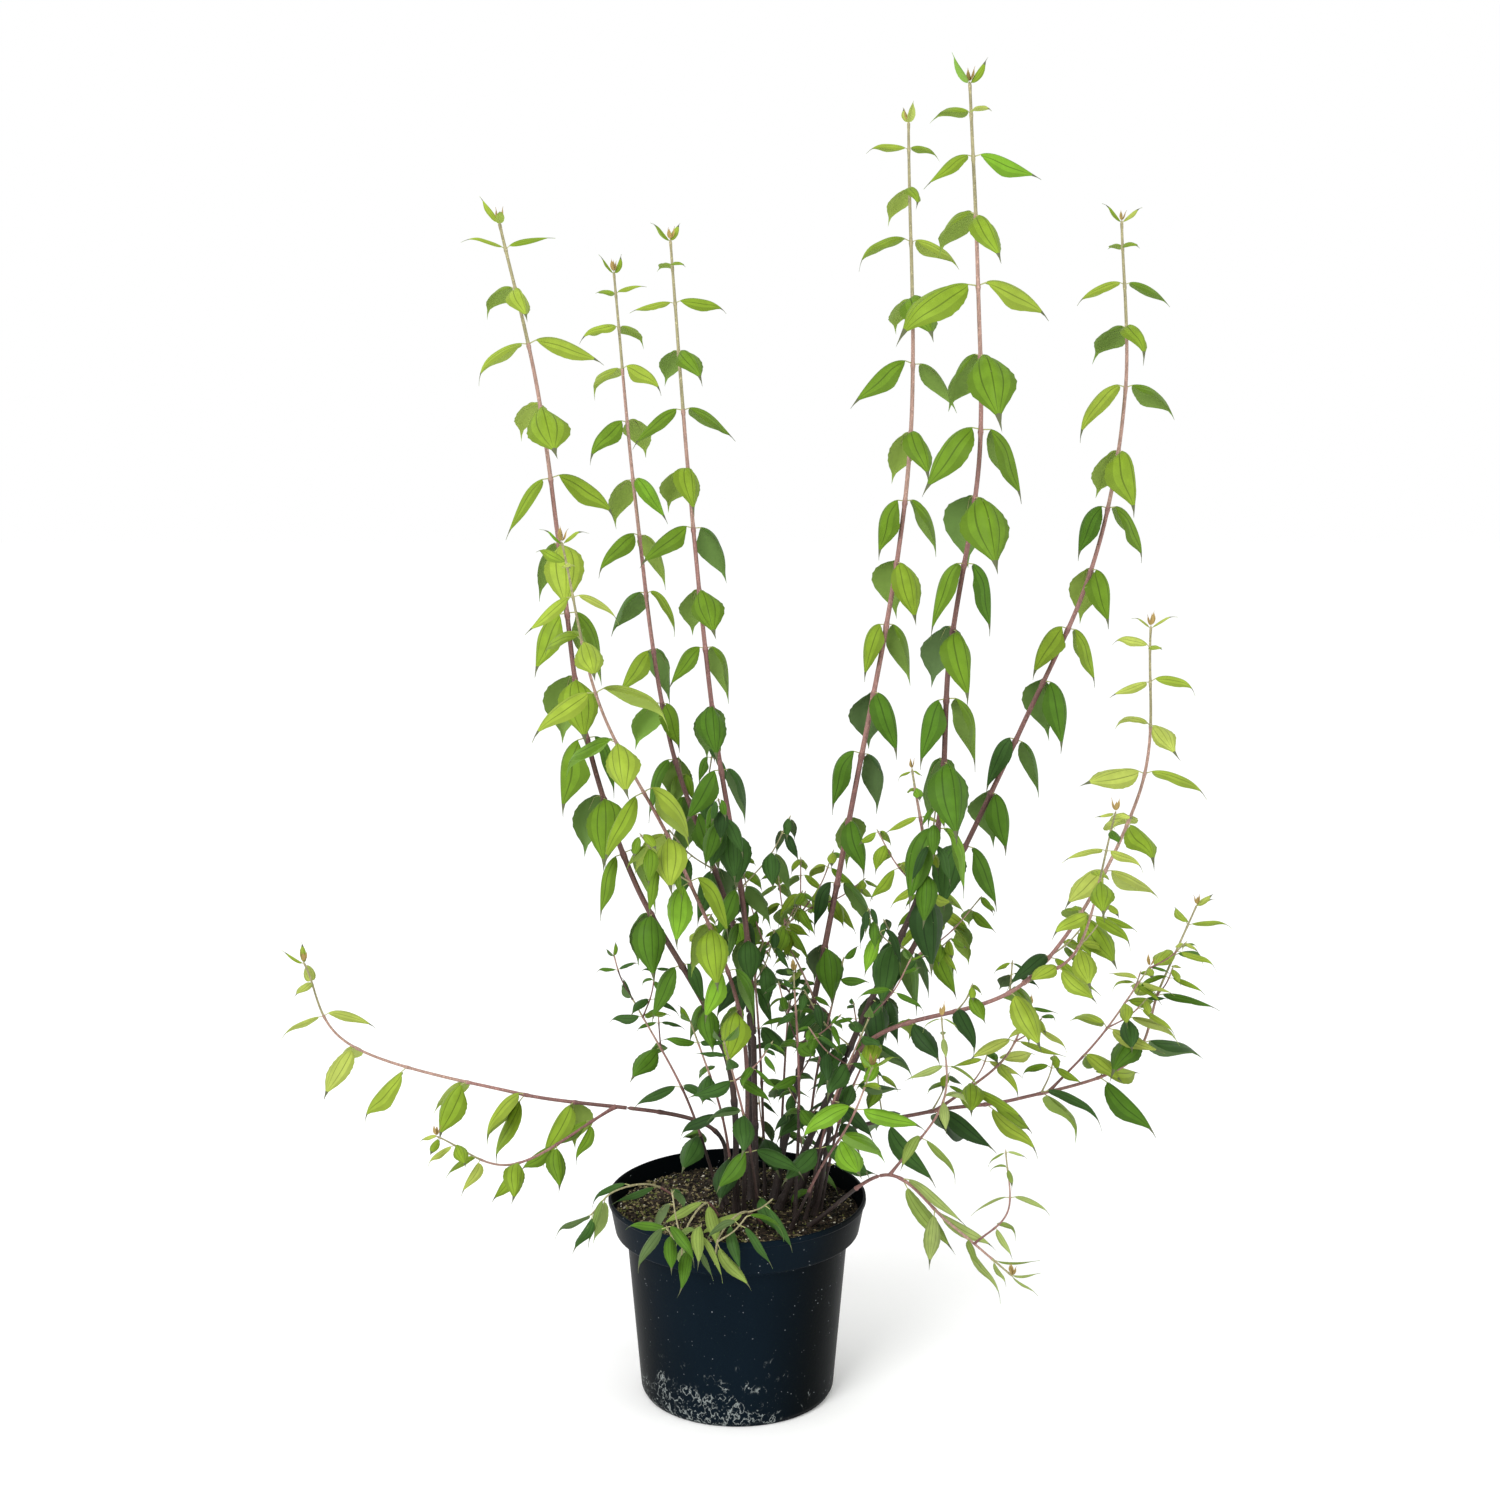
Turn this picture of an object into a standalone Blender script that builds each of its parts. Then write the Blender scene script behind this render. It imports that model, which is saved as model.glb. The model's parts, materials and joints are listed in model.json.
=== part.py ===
"""A young erectus mock orange in its nursery pot.

Metres, +Z up. The origin is the middle of the pot's flat underside, on the ground. +X is the side that the
far, low cane reaches out to, and -Y is the front.

The plant is a clump of slender canes from one crown. Each cane is a bare bough from the flat cut at the
compost up to its first leaves, and from there on a leafy shoot: one stem with leaves in opposite pairs,
each pair about a quarter turn from the one above. Round the crown stand short leafy tufts, and thin sprays
arch over the pot's front edge.
"""

import math
import random
from collections import namedtuple
from itertools import count

import bmesh
import bpy
import numpy as np
from mathutils import Matrix, Vector
from mathutils.bvhtree import BVHTree

# Pot, a round five-litre nursery pot.
POT_HEIGHT = 0.1805
RIM_RADIUS = 0.1125
LIP_WIDTH = 0.0022
LIP_DEPTH = 0.004
LIP_ROUNDING = 0.0007
COLLAR_HEIGHT = 0.031
COLLAR_FOOT_RADIUS = 0.1060
SHOULDER_HEIGHT = 0.0045
WALL_TOP_RADIUS = 0.0967
WALL_FOOT_RADIUS = 0.0850
FOOT_RADIUS = 0.0818
FOOT_ROUNDING = 0.0055
WALL_THICKNESS = 0.0018
FLOOR_THICKNESS = 0.0026
ROUND_SEGMENTS = 32
DRAIN_HOLES = 8
DRAIN_SIDES = 8
DRAIN_HOLE_RADIUS = 0.0045
DRAIN_RING_RADIUS = 0.060
DRAIN_FIRST = 0.37

# Compost: level round the crown, and a little lower at the wall.
COMPOST_TOP = 0.168
COMPOST_LEVEL_RADIUS = 0.078
COMPOST_EDGE_DROP = 0.004

# The gap between solids that touch.
CLEAR = 0.0003

# Limbs. A tip has TIP_SHARE of its foot's radius. A foot's flare dies away over FLARE_LENGTH, and FOOT_RINGS
# are the rings of a foot.
TIP_SHARE = 0.38
LEAST_TIP_RADIUS = 0.0006
TAPER_POWER = 0.7
FLARE_SHARE = 0.75
FLARE_LENGTH = 0.007
FOOT_RINGS = (0.0015, 0.004, 0.012)
BEND_SHARE = 0.25
LONGEST_STRETCH = 0.12
SUNK = 0.0001
FORK_SHARE = 0.8
FORK_AGE = 0.1
BARE_FOOT = 0.015

# Twigs low on a shoot. TWIG_BEND and TWIG_END are how far out and up they reach, beside their length.
TWIG_RADIUS = 0.0009
TWIG_GAP = 0.042
TWIG_LEAF = 0.043
TWIG_LENGTH = (0.075, 0.11)
TWIG_FIRST = 0.03
TWIG_STEP = 0.055
TWIG_STRAY = 0.015
TWIG_BEND = (0.42, 0.30)
TWIG_END = (0.86, 0.44)
TWIG_AGE = 0.35
TWIG_TURN = 45

# Where leaves stand. LEAF_RAMP and GAP_RAMP are the first pairs under the tip beside full ones, and
# FOOT_SIZE is the pairs at a shoot's leafy foot, over FOOT_REACH.
LEAF_RAMP = (0.36, 0.54, 0.74, 0.88)
GAP_RAMP = (0.36, 0.58, 0.76, 0.90)
TIP_ROOM = 0.004
FOOT_ROOM = 0.006
GAP_STRAY = (0.93, 1.07)
FOOT_SIZE = 0.74
FOOT_REACH = 0.16
QUARTER_TURN = 90.0

# Shape of a leaf.
LEAF_WIDTH = 0.49
NARROW_LEAF = 0.28
WIDEST_AT = 0.27
TAPER_AT = 0.66
TAPER_WIDTH = 0.60
SMALL_WIDEST_AT = 0.36
LEAST_THICKNESS = 0.0007
RIDGE_OF_WIDTH = 0.12
ROOT_DEPTH = 0.5
SMALL_LEAF = 0.045
FOOT_STALK = 0.16
ARCH_POWER = 3.6
LENGTH_STRAY = (0.88, 1.10)
WIDTH_STRAY = (0.92, 1.08)

# How a leaf is held, in degrees: it leans up from its stem, then arches over and falls. Tip leaves rise,
# over the first YOUNG of the shoot's age, and old ones hang.
PAIR_LEAN = 42.0
LEAN_STRAY = 9.0
TIP_LEAN = 26.0
TIP_RISE = 78.0
TIP_FALL = -22.0
OLD_FALL = -88.0
FALL_STRAY = 16.0
FALL_LIMIT = -92.0
LEAST_ARCH = 25.0
STEEPEST_SINE = 0.95
OLD_AFTER = 0.38
YOUNG = 0.092
TURN_STRAY = 0.16
ROLL = 0.38
# A leaf that would stand straight up is turned out along its stem and its side.
FLATTEST = 0.2
FLAT_ALONG = 0.4
FLAT_OUT = 0.2
# How far a leaf may be swung about its stem, in degrees, to miss what stands in its way.
SWINGS = (0, 18, -18, 36, -36)

Shoot = namedtuple(
    "Shoot", "name way bare foot_radius phase turn gap leaf forks twigs foot_size width",
    defaults=((), 0, FOOT_SIZE, LEAF_WIDTH),
)
Fork = namedtuple("Fork", "at way phase turn gap leaf")
Rule = namedtuple("Rule", "phase turn gap leaf width foot_size", defaults=(LEAF_WIDTH, FOOT_SIZE))
Stem = namedtuple("Stem", "route radius start rule knots age mesh")
Leaf = namedtuple("Leaf", "root heading rise fall length width roll")

# Each shoot from its foot at the compost to its tip. way is the line that it follows, bare the length of
# bough under the first leaves, phase the compass turn of the top pair, turn the step from pair to pair,
# gap the full distance between pairs, and leaf the length of a full leaf. A fork starts at a distance
# from the foot.
SHOOTS = (
    Shoot(
        "left_outer",
        ((0.000, -0.012), (-0.010, -0.030, 0.320), (-0.085, -0.050, 0.475), (-0.125, -0.070, 0.615),
         (-0.140, -0.090, 0.755), (-0.155, -0.110, 0.890), (-0.180, -0.130, 1.015)),
        0.190, 0.0028, 110, 90, 0.055, 0.072, twigs=1,
    ),
    Shoot(
        "left_light",
        ((0.006, -0.030), (0.005, -0.070, 0.355), (-0.045, -0.120, 0.510), (-0.105, -0.165, 0.645),
         (-0.130, -0.210, 0.780)),
        0.175, 0.0020, 20, 90, 0.048, 0.068,
    ),
    Shoot(
        "left_middle",
        ((0.012, 0.016), (0.005, 0.060, 0.370), (-0.060, 0.105, 0.565), (-0.090, 0.155, 0.765),
         (-0.110, 0.200, 0.970)),
        0.165, 0.0026, 50, 90, 0.051, 0.066, twigs=1,
    ),
    Shoot(
        "left_inner",
        ((0.017, -0.002), (0.010, 0.015, 0.395), (-0.020, 0.025, 0.600), (-0.040, 0.035, 0.800),
         (-0.055, 0.050, 1.000)),
        0.155, 0.0027, 20, 90, 0.052, 0.062, twigs=1,
    ),
    Shoot(
        "right_inner",
        ((0.032, 0.018), (0.095, 0.075, 0.480), (0.150, 0.135, 0.800), (0.150, 0.190, 1.100)),
        0.145, 0.0029, 110, 90, 0.058, 0.072, twigs=1,
    ),
    Shoot(
        "right_tall",
        ((0.036, -0.006), (0.105, -0.020, 0.340), (0.165, -0.035, 0.500), (0.175, -0.045, 0.665),
         (0.195, -0.060, 0.825), (0.190, -0.075, 0.975), (0.180, -0.090, 1.120)),
        0.155, 0.0029, 20, 90, 0.057, 0.080,
        (Fork(0.275, ((0.160, -0.005, 0.475), (0.150, 0.030, 0.555)), 20, 90, 0.044, 0.052),),
    ),
    Shoot(
        "right_outer",
        ((0.050, 0.014), (0.110, 0.025, 0.310), (0.180, 0.040, 0.445), (0.245, 0.050, 0.585),
         (0.305, 0.065, 0.725), (0.330, 0.075, 0.870), (0.325, 0.090, 1.015)),
        0.160, 0.0028, 20, 90, 0.052, 0.070, twigs=1,
    ),
    Shoot(
        "centre",
        ((0.050, -0.032), (0.053, -0.036, 0.290), (0.048, -0.040, 0.395)),
        0.085, 0.0016, 30, 90, 0.038, 0.042,
    ),
    Shoot(
        "right_grey",
        ((0.067, -0.019), (0.105, -0.052, 0.330), (0.240, -0.085, 0.400), (0.320, -0.130, 0.565),
         (0.320, -0.170, 0.710)),
        0.165, 0.0022, 20, 90, 0.048, 0.062,
        (Fork(0.325, ((0.275, -0.140, 0.445), (0.290, -0.220, 0.575)), 0, 90, 0.043, 0.054),),
    ),
    Shoot(
        "far_right",
        ((0.067, -0.001), (0.082, -0.004, 0.232), (0.170, 0.030, 0.245), (0.250, 0.050, 0.250),
         (0.350, 0.075, 0.275), (0.380, 0.095, 0.340), (0.415, 0.120, 0.410)),
        0.085, 0.0020, 40, 90, 0.052, 0.060,
        (Fork(0.170, ((0.230, 0.005, 0.300), (0.250, -0.025, 0.360)), 0, 90, 0.046, 0.058),
         Fork(0.275, ((0.325, 0.075, 0.300), (0.365, 0.060, 0.370)), 60, 90, 0.046, 0.062)),
        foot_size=1.2,
    ),
    Shoot(
        "low_right",
        ((0.062, -0.045), (0.125, -0.090, 0.232), (0.175, -0.128, 0.205), (0.225, -0.170, 0.175)),
        0.095, 0.0018, 20, 90, 0.052, 0.070,
        (Fork(0.105, ((0.170, -0.115, 0.305), (0.165, -0.150, 0.390)), 0, 90, 0.056, 0.054),
         Fork(0.200, ((0.220, -0.165, 0.230), (0.215, -0.185, 0.290)), 10, 90, 0.056, 0.054)),
        foot_size=1.1, width=0.34,
    ),
    Shoot(
        "front",
        ((0.046, -0.052), (0.070, -0.085, 0.235), (0.095, -0.102, 0.285), (0.112, -0.112, 0.335)),
        0.080, 0.0014, 0, 90, 0.048, 0.092,
    ),
    Shoot(
        "low_left",
        ((-0.010, 0.006), (-0.027, 0.010, 0.240), (-0.190, 0.020, 0.265), (-0.340, 0.035, 0.305),
         (-0.380, 0.040, 0.380)),
        0.150, 0.0020, 0, 90, 0.052, 0.066,
        (Fork(0.160, ((-0.190, -0.060, 0.230), (-0.250, -0.100, 0.270)), 70, 90, 0.050, 0.058),),
        foot_size=1.0,
    ),
)

# Thin sprays that arch over the pot's front edge.
SPRAYS = (
    Shoot(
        "front_left",
        ((-0.010, -0.048), (-0.025, -0.085, 0.205), (-0.042, -0.122, 0.196), (-0.046, -0.138, 0.170)),
        0.0, 0.0011, 20, 90, 0.046, 0.064, width=NARROW_LEAF,
    ),
    Shoot(
        "front_middle",
        ((0.028, -0.052), (0.006, -0.092, 0.200), (-0.014, -0.126, 0.192), (-0.018, -0.138, 0.172)),
        0.0, 0.0011, 70, 90, 0.046, 0.064, width=NARROW_LEAF,
    ),
    Shoot(
        "left_edge",
        ((-0.034, -0.020), (-0.070, -0.045, 0.205), (-0.104, -0.066, 0.208), (-0.124, -0.076, 0.190)),
        0.0, 0.0011, 40, 90, 0.048, 0.052, width=NARROW_LEAF,
    ),
)

# Short tufts round the crown, placed by rule: each a golden angle on from the last.
CROWN = Vector((0.032, -0.004, 0.0))
TUFTS = 8
TUFT_RING = (0.032, 0.046)
TUFT_LENGTH = (0.17, 0.27)
TUFT_LEAN = (6.0, 25.0)
TUFT_ARCH = 10.0
TUFT_SEED = 41
TUFT_FIRST_TURN = 200.0
TUFT_SWINGS = (0, 12, -12, 24, -24, 36, -36, 48, -48)
TUFT_LEAF = 0.062
TUFT_GAP = 0.054
TUFT_FOOT_RADIUS = 0.0014
GOLDEN_ANGLE = 137.5
FIRST_SEED = 100

BARK = (0.20, 0.11, 0.09)
LEAF_GREEN = (0.20, 0.42, 0.07)
DARK_GREEN = (0.07, 0.24, 0.07)
POT_BLACK = (0.012, 0.014, 0.020)
PEAT_BROWN = (0.055, 0.040, 0.028)


def clear_scene():
    """Removes what the open scene holds."""
    for thing in list(bpy.data.objects):
        bpy.data.objects.remove(thing, do_unlink=True)


def collection(name):
    """A collection of the scene."""
    made = bpy.data.collections.new(name)
    bpy.context.scene.collection.children.link(made)
    return made


def material(name, colour, roughness, metallic=0.0):
    """A material of one colour for one object."""
    made = bpy.data.materials.new(name)
    made.use_nodes = True
    shader = made.node_tree.nodes["Principled BSDF"]
    shader.inputs["Base Color"].default_value = (*colour, 1.0)
    shader.inputs["Roughness"].default_value = roughness
    shader.inputs["Metallic"].default_value = metallic
    return made


def evaluated_mesh(thing):
    """The mesh that an object's modifiers or curve make, in its own space."""
    bpy.context.view_layer.update()
    graph = bpy.context.evaluated_depsgraph_get()
    return bpy.data.meshes.new_from_object(thing.evaluated_get(graph))


def mesh_object(name, mesh, group, look=None):
    """An object for a mesh, with a material if one is given."""
    made = bpy.data.objects.new(name, mesh)
    group.objects.link(made)
    if look:
        mesh.materials.clear()
        mesh.materials.append(look)
    return made


def turned(name, profile, group, look):
    """A solid of revolution: a profile from the axis, over the outside and back to the axis."""
    mesh = bpy.data.meshes.new(name)
    edges = [(i, i + 1) for i in range(len(profile) - 1)]
    mesh.from_pydata([(radius, 0.0, height) for radius, height in profile], edges, [])
    made = mesh_object(name, mesh, group, look)
    screw = made.modifiers.new("turn", "SCREW")
    screw.steps = screw.render_steps = ROUND_SEGMENTS
    screw.use_merge_vertices = True
    screw.merge_threshold = CLEAR / 10
    screw.use_smooth_shade = False
    made.data = evaluated_mesh(made)
    made.modifiers.clear()
    return made


def pot_inside():
    """The pot's inner wall from the floor's edge up to the lip, as radius and height."""
    collar_foot = POT_HEIGHT - COLLAR_HEIGHT
    return [
        (WALL_FOOT_RADIUS - WALL_THICKNESS, FLOOR_THICKNESS),
        (WALL_TOP_RADIUS - WALL_THICKNESS, collar_foot - SHOULDER_HEIGHT),
        (COLLAR_FOOT_RADIUS - WALL_THICKNESS, collar_foot),
        (RIM_RADIUS - LIP_WIDTH, POT_HEIGHT),
    ]


def build_pot(group, cutters):
    """The pot: a thin turned shell with a flared collar and a ring of drain holes in its flat floor."""
    collar_foot = POT_HEIGHT - COLLAR_HEIGHT
    outside = [
        (RIM_RADIUS, POT_HEIGHT - LIP_ROUNDING),
        (RIM_RADIUS - LIP_ROUNDING, POT_HEIGHT - LIP_DEPTH),
        (COLLAR_FOOT_RADIUS, collar_foot),
        (WALL_TOP_RADIUS, collar_foot - SHOULDER_HEIGHT),
        (WALL_FOOT_RADIUS, FOOT_ROUNDING),
        (FOOT_RADIUS, 0.0),
    ]
    profile = [(0.0, FLOOR_THICKNESS), *pot_inside(), *outside, (0.0, 0.0)]
    pot = turned("pot", profile, group, material("pot plastic", POT_BLACK, 0.42))
    for i in range(DRAIN_HOLES):
        turn = math.radians((i + DRAIN_FIRST) * 360.0 / DRAIN_HOLES)
        place = (DRAIN_RING_RADIUS * math.cos(turn), DRAIN_RING_RADIUS * math.sin(turn), 0.0)
        bpy.ops.mesh.primitive_cylinder_add(
            vertices=DRAIN_SIDES, radius=DRAIN_HOLE_RADIUS, depth=4 * FLOOR_THICKNESS, location=place
        )
        drill = bpy.context.object
        drill.name = f"drain_{i + 1}"
        for holder in list(drill.users_collection):
            holder.objects.unlink(drill)
        cutters.objects.link(drill)
        drill.hide_render = True
        drill.display_type = "WIRE"
    cut = pot.modifiers.new("drain holes", "BOOLEAN")
    cut.operation = "DIFFERENCE"
    cut.operand_type = "COLLECTION"
    cut.collection = cutters
    pot.data = evaluated_mesh(pot)
    pot.modifiers.clear()
    for drill in list(cutters.objects):
        bpy.data.objects.remove(drill, do_unlink=True)
    return pot


def build_compost(group):
    """The compost that fills the pot, clear of its wall and floor."""
    edge = COMPOST_TOP - COMPOST_EDGE_DROP
    below = [(r - CLEAR, max(z, FLOOR_THICKNESS + CLEAR)) for r, z in pot_inside()[:-1]]
    (low_r, low_z), (top_r, top_z) = pot_inside()[-2:]
    share = (edge - low_z) / (top_z - low_z)
    edge_radius = low_r + share * (top_r - low_r) - CLEAR
    profile = [(0.0, COMPOST_TOP), (COMPOST_LEVEL_RADIUS, COMPOST_TOP), (edge_radius, edge)]
    profile += below[::-1] + [(0.0, FLOOR_THICKNESS + CLEAR)]
    return turned("compost", profile, group, material("compost", PEAT_BROWN, 0.95))


class Route:
    """The smooth line through a limb's way points, read by distance from its foot."""

    SAMPLES = 240

    def __init__(self, way):
        points = np.array([(*p, COMPOST_TOP + CLEAR) if len(p) == 2 else tuple(p) for p in way])
        ends = np.vstack([2 * points[0] - points[1], points, 2 * points[-1] - points[-2]])
        place = np.linspace(0, len(points) - 1, self.SAMPLES)
        span = np.minimum(place.astype(int), len(points) - 2)
        f = (place - span)[:, None]
        a, b, c, d = (ends[span + k] for k in range(4))
        curve = 2 * b + (c - a) * f + (2 * a - 5 * b + 4 * c - d) * f**2
        self.points = 0.5 * (curve + (3 * b - a - 3 * c + d) * f**3)
        steps = np.linalg.norm(np.diff(self.points, axis=0), axis=1)
        self.along = np.concatenate([[0.0], np.cumsum(steps)])
        self.length = float(self.along[-1])

    def at(self, distance):
        """The point at a distance from the foot."""
        return Vector([float(np.interp(distance, self.along, self.points[:, k])) for k in range(3)])

    def direction(self, distance):
        """The way that the limb grows there."""
        near = self.length / self.SAMPLES
        low = min(max(distance, near), self.length - near)
        return (self.at(low + near) - self.at(low - near)).normalized()


def limb_radius(route, foot_radius, distance, flare=True):
    """A limb's radius: an even taper, and at the foot a flare."""
    left = max(0.0, 1.0 - distance / route.length)
    tip = max(LEAST_TIP_RADIUS, TIP_SHARE * foot_radius)
    radius = tip + (foot_radius - tip) * left**TAPER_POWER
    if flare:
        radius += FLARE_SHARE * foot_radius * math.exp(-distance / FLARE_LENGTH)
    return radius


def limb_mesh(name, points, radii, round_limb):
    """A tapering limb as a closed mesh: a curve with a bevel, six-sided if it is round, else four-sided."""
    curve = bpy.data.curves.new(name, "CURVE")
    curve.dimensions = "3D"
    curve.bevel_depth = 1.0
    curve.bevel_resolution = 1 if round_limb else 0
    curve.use_fill_caps = True
    spline = curve.splines.new("POLY")
    spline.points.add(len(points) - 1)
    for knot, point, radius in zip(spline.points, points, radii):
        knot.co = (*point, 1.0)
        knot.radius = radius
    guide = bpy.data.objects.new(name, curve)
    bpy.context.scene.collection.objects.link(guide)
    mesh = evaluated_mesh(guide)
    bpy.data.objects.remove(guide, do_unlink=True)
    work = bmesh.new()
    work.from_mesh(mesh)
    bmesh.ops.remove_doubles(work, verts=work.verts, dist=CLEAR / 30)
    bmesh.ops.recalc_face_normals(work, faces=work.faces)
    work.to_mesh(mesh)
    work.free()
    return mesh


def bends(route, foot_radius, low, high):
    """Distances from low to high at which a limb needs a ring, close together where it bends."""
    middle = (low + high) / 2
    off = (route.at(middle) - (route.at(low) + route.at(high)) / 2).length
    if off < BEND_SHARE * limb_radius(route, foot_radius, middle, False) and high - low < LONGEST_STRETCH:
        return [low, high]
    return bends(route, foot_radius, low, middle)[:-1] + bends(route, foot_radius, middle, high)


def stretch(name, route, foot_radius, start, end, round_limb=False):
    """The stretch of a limb from start to end. At the compost it has a level cut and a flare."""
    if start:
        places = bends(route, foot_radius, start, end)
        points = [route.at(s) for s in places]
    else:
        level, low, high = FOOT_RINGS
        places = [0.0, level, low, *bends(route, foot_radius, high, end)]
        points = [route.at(s) for s in places]
        points[1] = points[0] + Vector((0.0, 0.0, level))
    radii = [limb_radius(route, foot_radius, s, start == 0.0) for s in places]
    return limb_mesh(name, points, radii, round_limb)


def midrib(leaf, count=13):
    """Points along a leaf's midrib, and the way it runs at each: it leaves the stem upwards, then arches
    over and hangs."""
    share = np.linspace(0.0, 1.0, count)
    bend = 1.0 - (1.0 - share) ** ARCH_POWER
    pitch = np.radians(leaf.rise + (leaf.fall - leaf.rise) * bend)
    out = np.array([math.cos(leaf.heading), math.sin(leaf.heading), 0.0])
    ways = np.cos(pitch)[:, None] * out + np.sin(pitch)[:, None] * np.array([0.0, 0.0, 1.0])
    steps = 0.5 * (ways[1:] + ways[:-1]) * (leaf.length / (count - 1))
    points = np.array(leaf.root) + np.vstack([np.zeros(3), np.cumsum(steps, axis=0)])
    return share, points, ways


def leaf_frame(leaf, at):
    """The midrib's point there, with the blade's sideways and upward directions."""
    share, points, ways = midrib(leaf)
    point = Vector([float(np.interp(at, share, points[:, k])) for k in range(3)])
    way = Vector([float(np.interp(at, share, ways[:, k])) for k in range(3)]).normalized()
    side = Vector((-math.sin(leaf.heading), math.cos(leaf.heading), 0.0))
    side = Matrix.Rotation(leaf.roll, 3, way) @ side
    return point, side, side.cross(way) * -1.0


def leaf_cage(leaf, grow=0.0, start=0.0):
    """A leaf as a closed blade with a ridge along its midrib and a flat underside: points and faces.
    It runs out to a point inside its stem. grow fattens it, and start cuts its foot off."""
    widths = [(WIDEST_AT, 1.0), (TAPER_AT, TAPER_WIDTH)]
    if leaf.length < SMALL_LEAF:
        widths = [(SMALL_WIDEST_AT, 1.0)]
    if start:
        widths.insert(0, (start, start / widths[0][0]))
    points = [] if start else [leaf_frame(leaf, 0.0)[0]]
    first = len(points)
    for at, share in widths:
        half = leaf.width / 2 * share + grow
        ridge = max(LEAST_THICKNESS, RIDGE_OF_WIDTH * leaf.width * share) + grow
        point, side, up = leaf_frame(leaf, at)
        points += [point + up * grow, point + side * half - up * ridge, point - side * half - up * ridge]
    faces = [(first, first + 2, first + 1)] if start else [(0, 2, 1), (0, 3, 2), (0, 1, 3)]
    for low in range(first, len(points) - 3, 3):
        faces += [(low + k, low + (k + 1) % 3, low + 3 + (k + 1) % 3, low + 3 + k) for k in range(3)]
    last = len(points) - 3
    points.append(leaf_frame(leaf, 1.0)[0])
    faces += [(last + k, last + (k + 1) % 3, last + 3) for k in range(3)]
    return points, faces


class Space:
    """What already stands in the plant. A new leaf or twig is kept only where it touches none of it."""

    def __init__(self):
        self.owners, self.trees, self.lows, self.highs = [], [], [], []

    def add(self, owner, points, faces):
        """Takes a solid's place up."""
        array = np.array([tuple(p) for p in points])
        self.owners.append(owner)
        self.trees.append(BVHTree.FromPolygons([tuple(p) for p in points], faces))
        self.lows.append(array.min(axis=0))
        self.highs.append(array.max(axis=0))

    def add_mesh(self, owner, mesh):
        """Takes up the place of a mesh."""
        self.add(owner, [v.co for v in mesh.vertices], [tuple(p.vertices) for p in mesh.polygons])

    def is_free(self, points, faces, skip=None, only=None):
        """Whether a solid touches nothing here, of all owners but skip, or of owner only."""
        array = np.array([tuple(p) for p in points])
        low, high = array.min(axis=0), array.max(axis=0)
        near = np.all(np.array(self.lows) <= high, axis=1) & np.all(np.array(self.highs) >= low, axis=1)
        tree = None
        for i in np.flatnonzero(near):
            owner = self.owners[i]
            if owner == skip or (only is not None and owner != only):
                continue
            tree = tree or BVHTree.FromPolygons([tuple(p) for p in points], faces)
            if self.trees[i].overlap(tree):
                return False
        return True


def leaf_fits(space, mass, leaf):
    """Whether a leaf is clear of other growth, and past its foot also of its own shoot."""
    if not space.is_free(*leaf_cage(leaf, CLEAR), skip=mass):
        return False
    return space.is_free(*leaf_cage(leaf, CLEAR, FOOT_STALK), only=mass)


def pair_of_leaves(route, distance, turn, length, width, age, radius, draw):
    """Two opposite leaves. Old ones hang, and those near the tip reach out and up."""
    axis = route.direction(distance)
    across = Vector((0.0, 1.0, 0.0)).cross(axis).normalized()
    front = axis.cross(across).normalized()
    youth = max(0.0, 1.0 - age / YOUNG)
    pair = []
    for side in (0.0, math.pi):
        angle = math.radians(turn) + side + draw.uniform(-TURN_STRAY, TURN_STRAY)
        out = across * math.cos(angle) + front * math.sin(angle)
        lean = math.radians(PAIR_LEAN + draw.uniform(-LEAN_STRAY, LEAN_STRAY) + TIP_LEAN * youth)
        start = (out * math.cos(lean) + axis * math.sin(lean)).normalized()
        flat = Vector((start.x, start.y, 0.0))
        if flat.length < FLATTEST:
            flat += Vector((axis.x, axis.y, 0.0)) * FLAT_ALONG + Vector((out.x, out.y, 0.0)) * FLAT_OUT
        fall = TIP_FALL + (OLD_FALL - TIP_FALL) * min(1.0, age) + draw.uniform(-FALL_STRAY, FALL_STRAY)
        fall += TIP_RISE * youth
        rise = math.degrees(math.asin(max(-STEEPEST_SINE, min(STEEPEST_SINE, start.z))))
        size = length * draw.uniform(*LENGTH_STRAY)
        pair.append(
            Leaf(
                route.at(distance) - out * radius * ROOT_DEPTH,
                math.atan2(flat.y, flat.x),
                rise,
                max(FALL_LIMIT, min(fall, rise + LEAST_ARCH)),
                size,
                size * width * draw.uniform(*WIDTH_STRAY),
                draw.uniform(-ROLL, ROLL),
            )
        )
    return pair


def swung(leaf, degrees):
    """The leaf turned about its stem."""
    return leaf._replace(heading=leaf.heading + math.radians(degrees))


def foot_share(distance, start, foot_size):
    """How large growth is near a shoot's leafy foot, beside the rest of it."""
    return foot_size + (1.0 - foot_size) * min(1.0, (distance - start) / FOOT_REACH)


def leaf_knots(route, start, rule, draw):
    """The distances at which pairs of leaves stand, from the tip down to start."""
    knots = []
    distance = route.length - TIP_ROOM
    while distance > start + FOOT_ROOM:
        ramp = GAP_RAMP[len(knots)] if len(knots) < len(GAP_RAMP) else 1.0
        knots.append(distance)
        distance -= rule.gap * ramp * foot_share(distance, start, FOOT_SIZE) * draw.uniform(*GAP_STRAY)
    return knots


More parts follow.
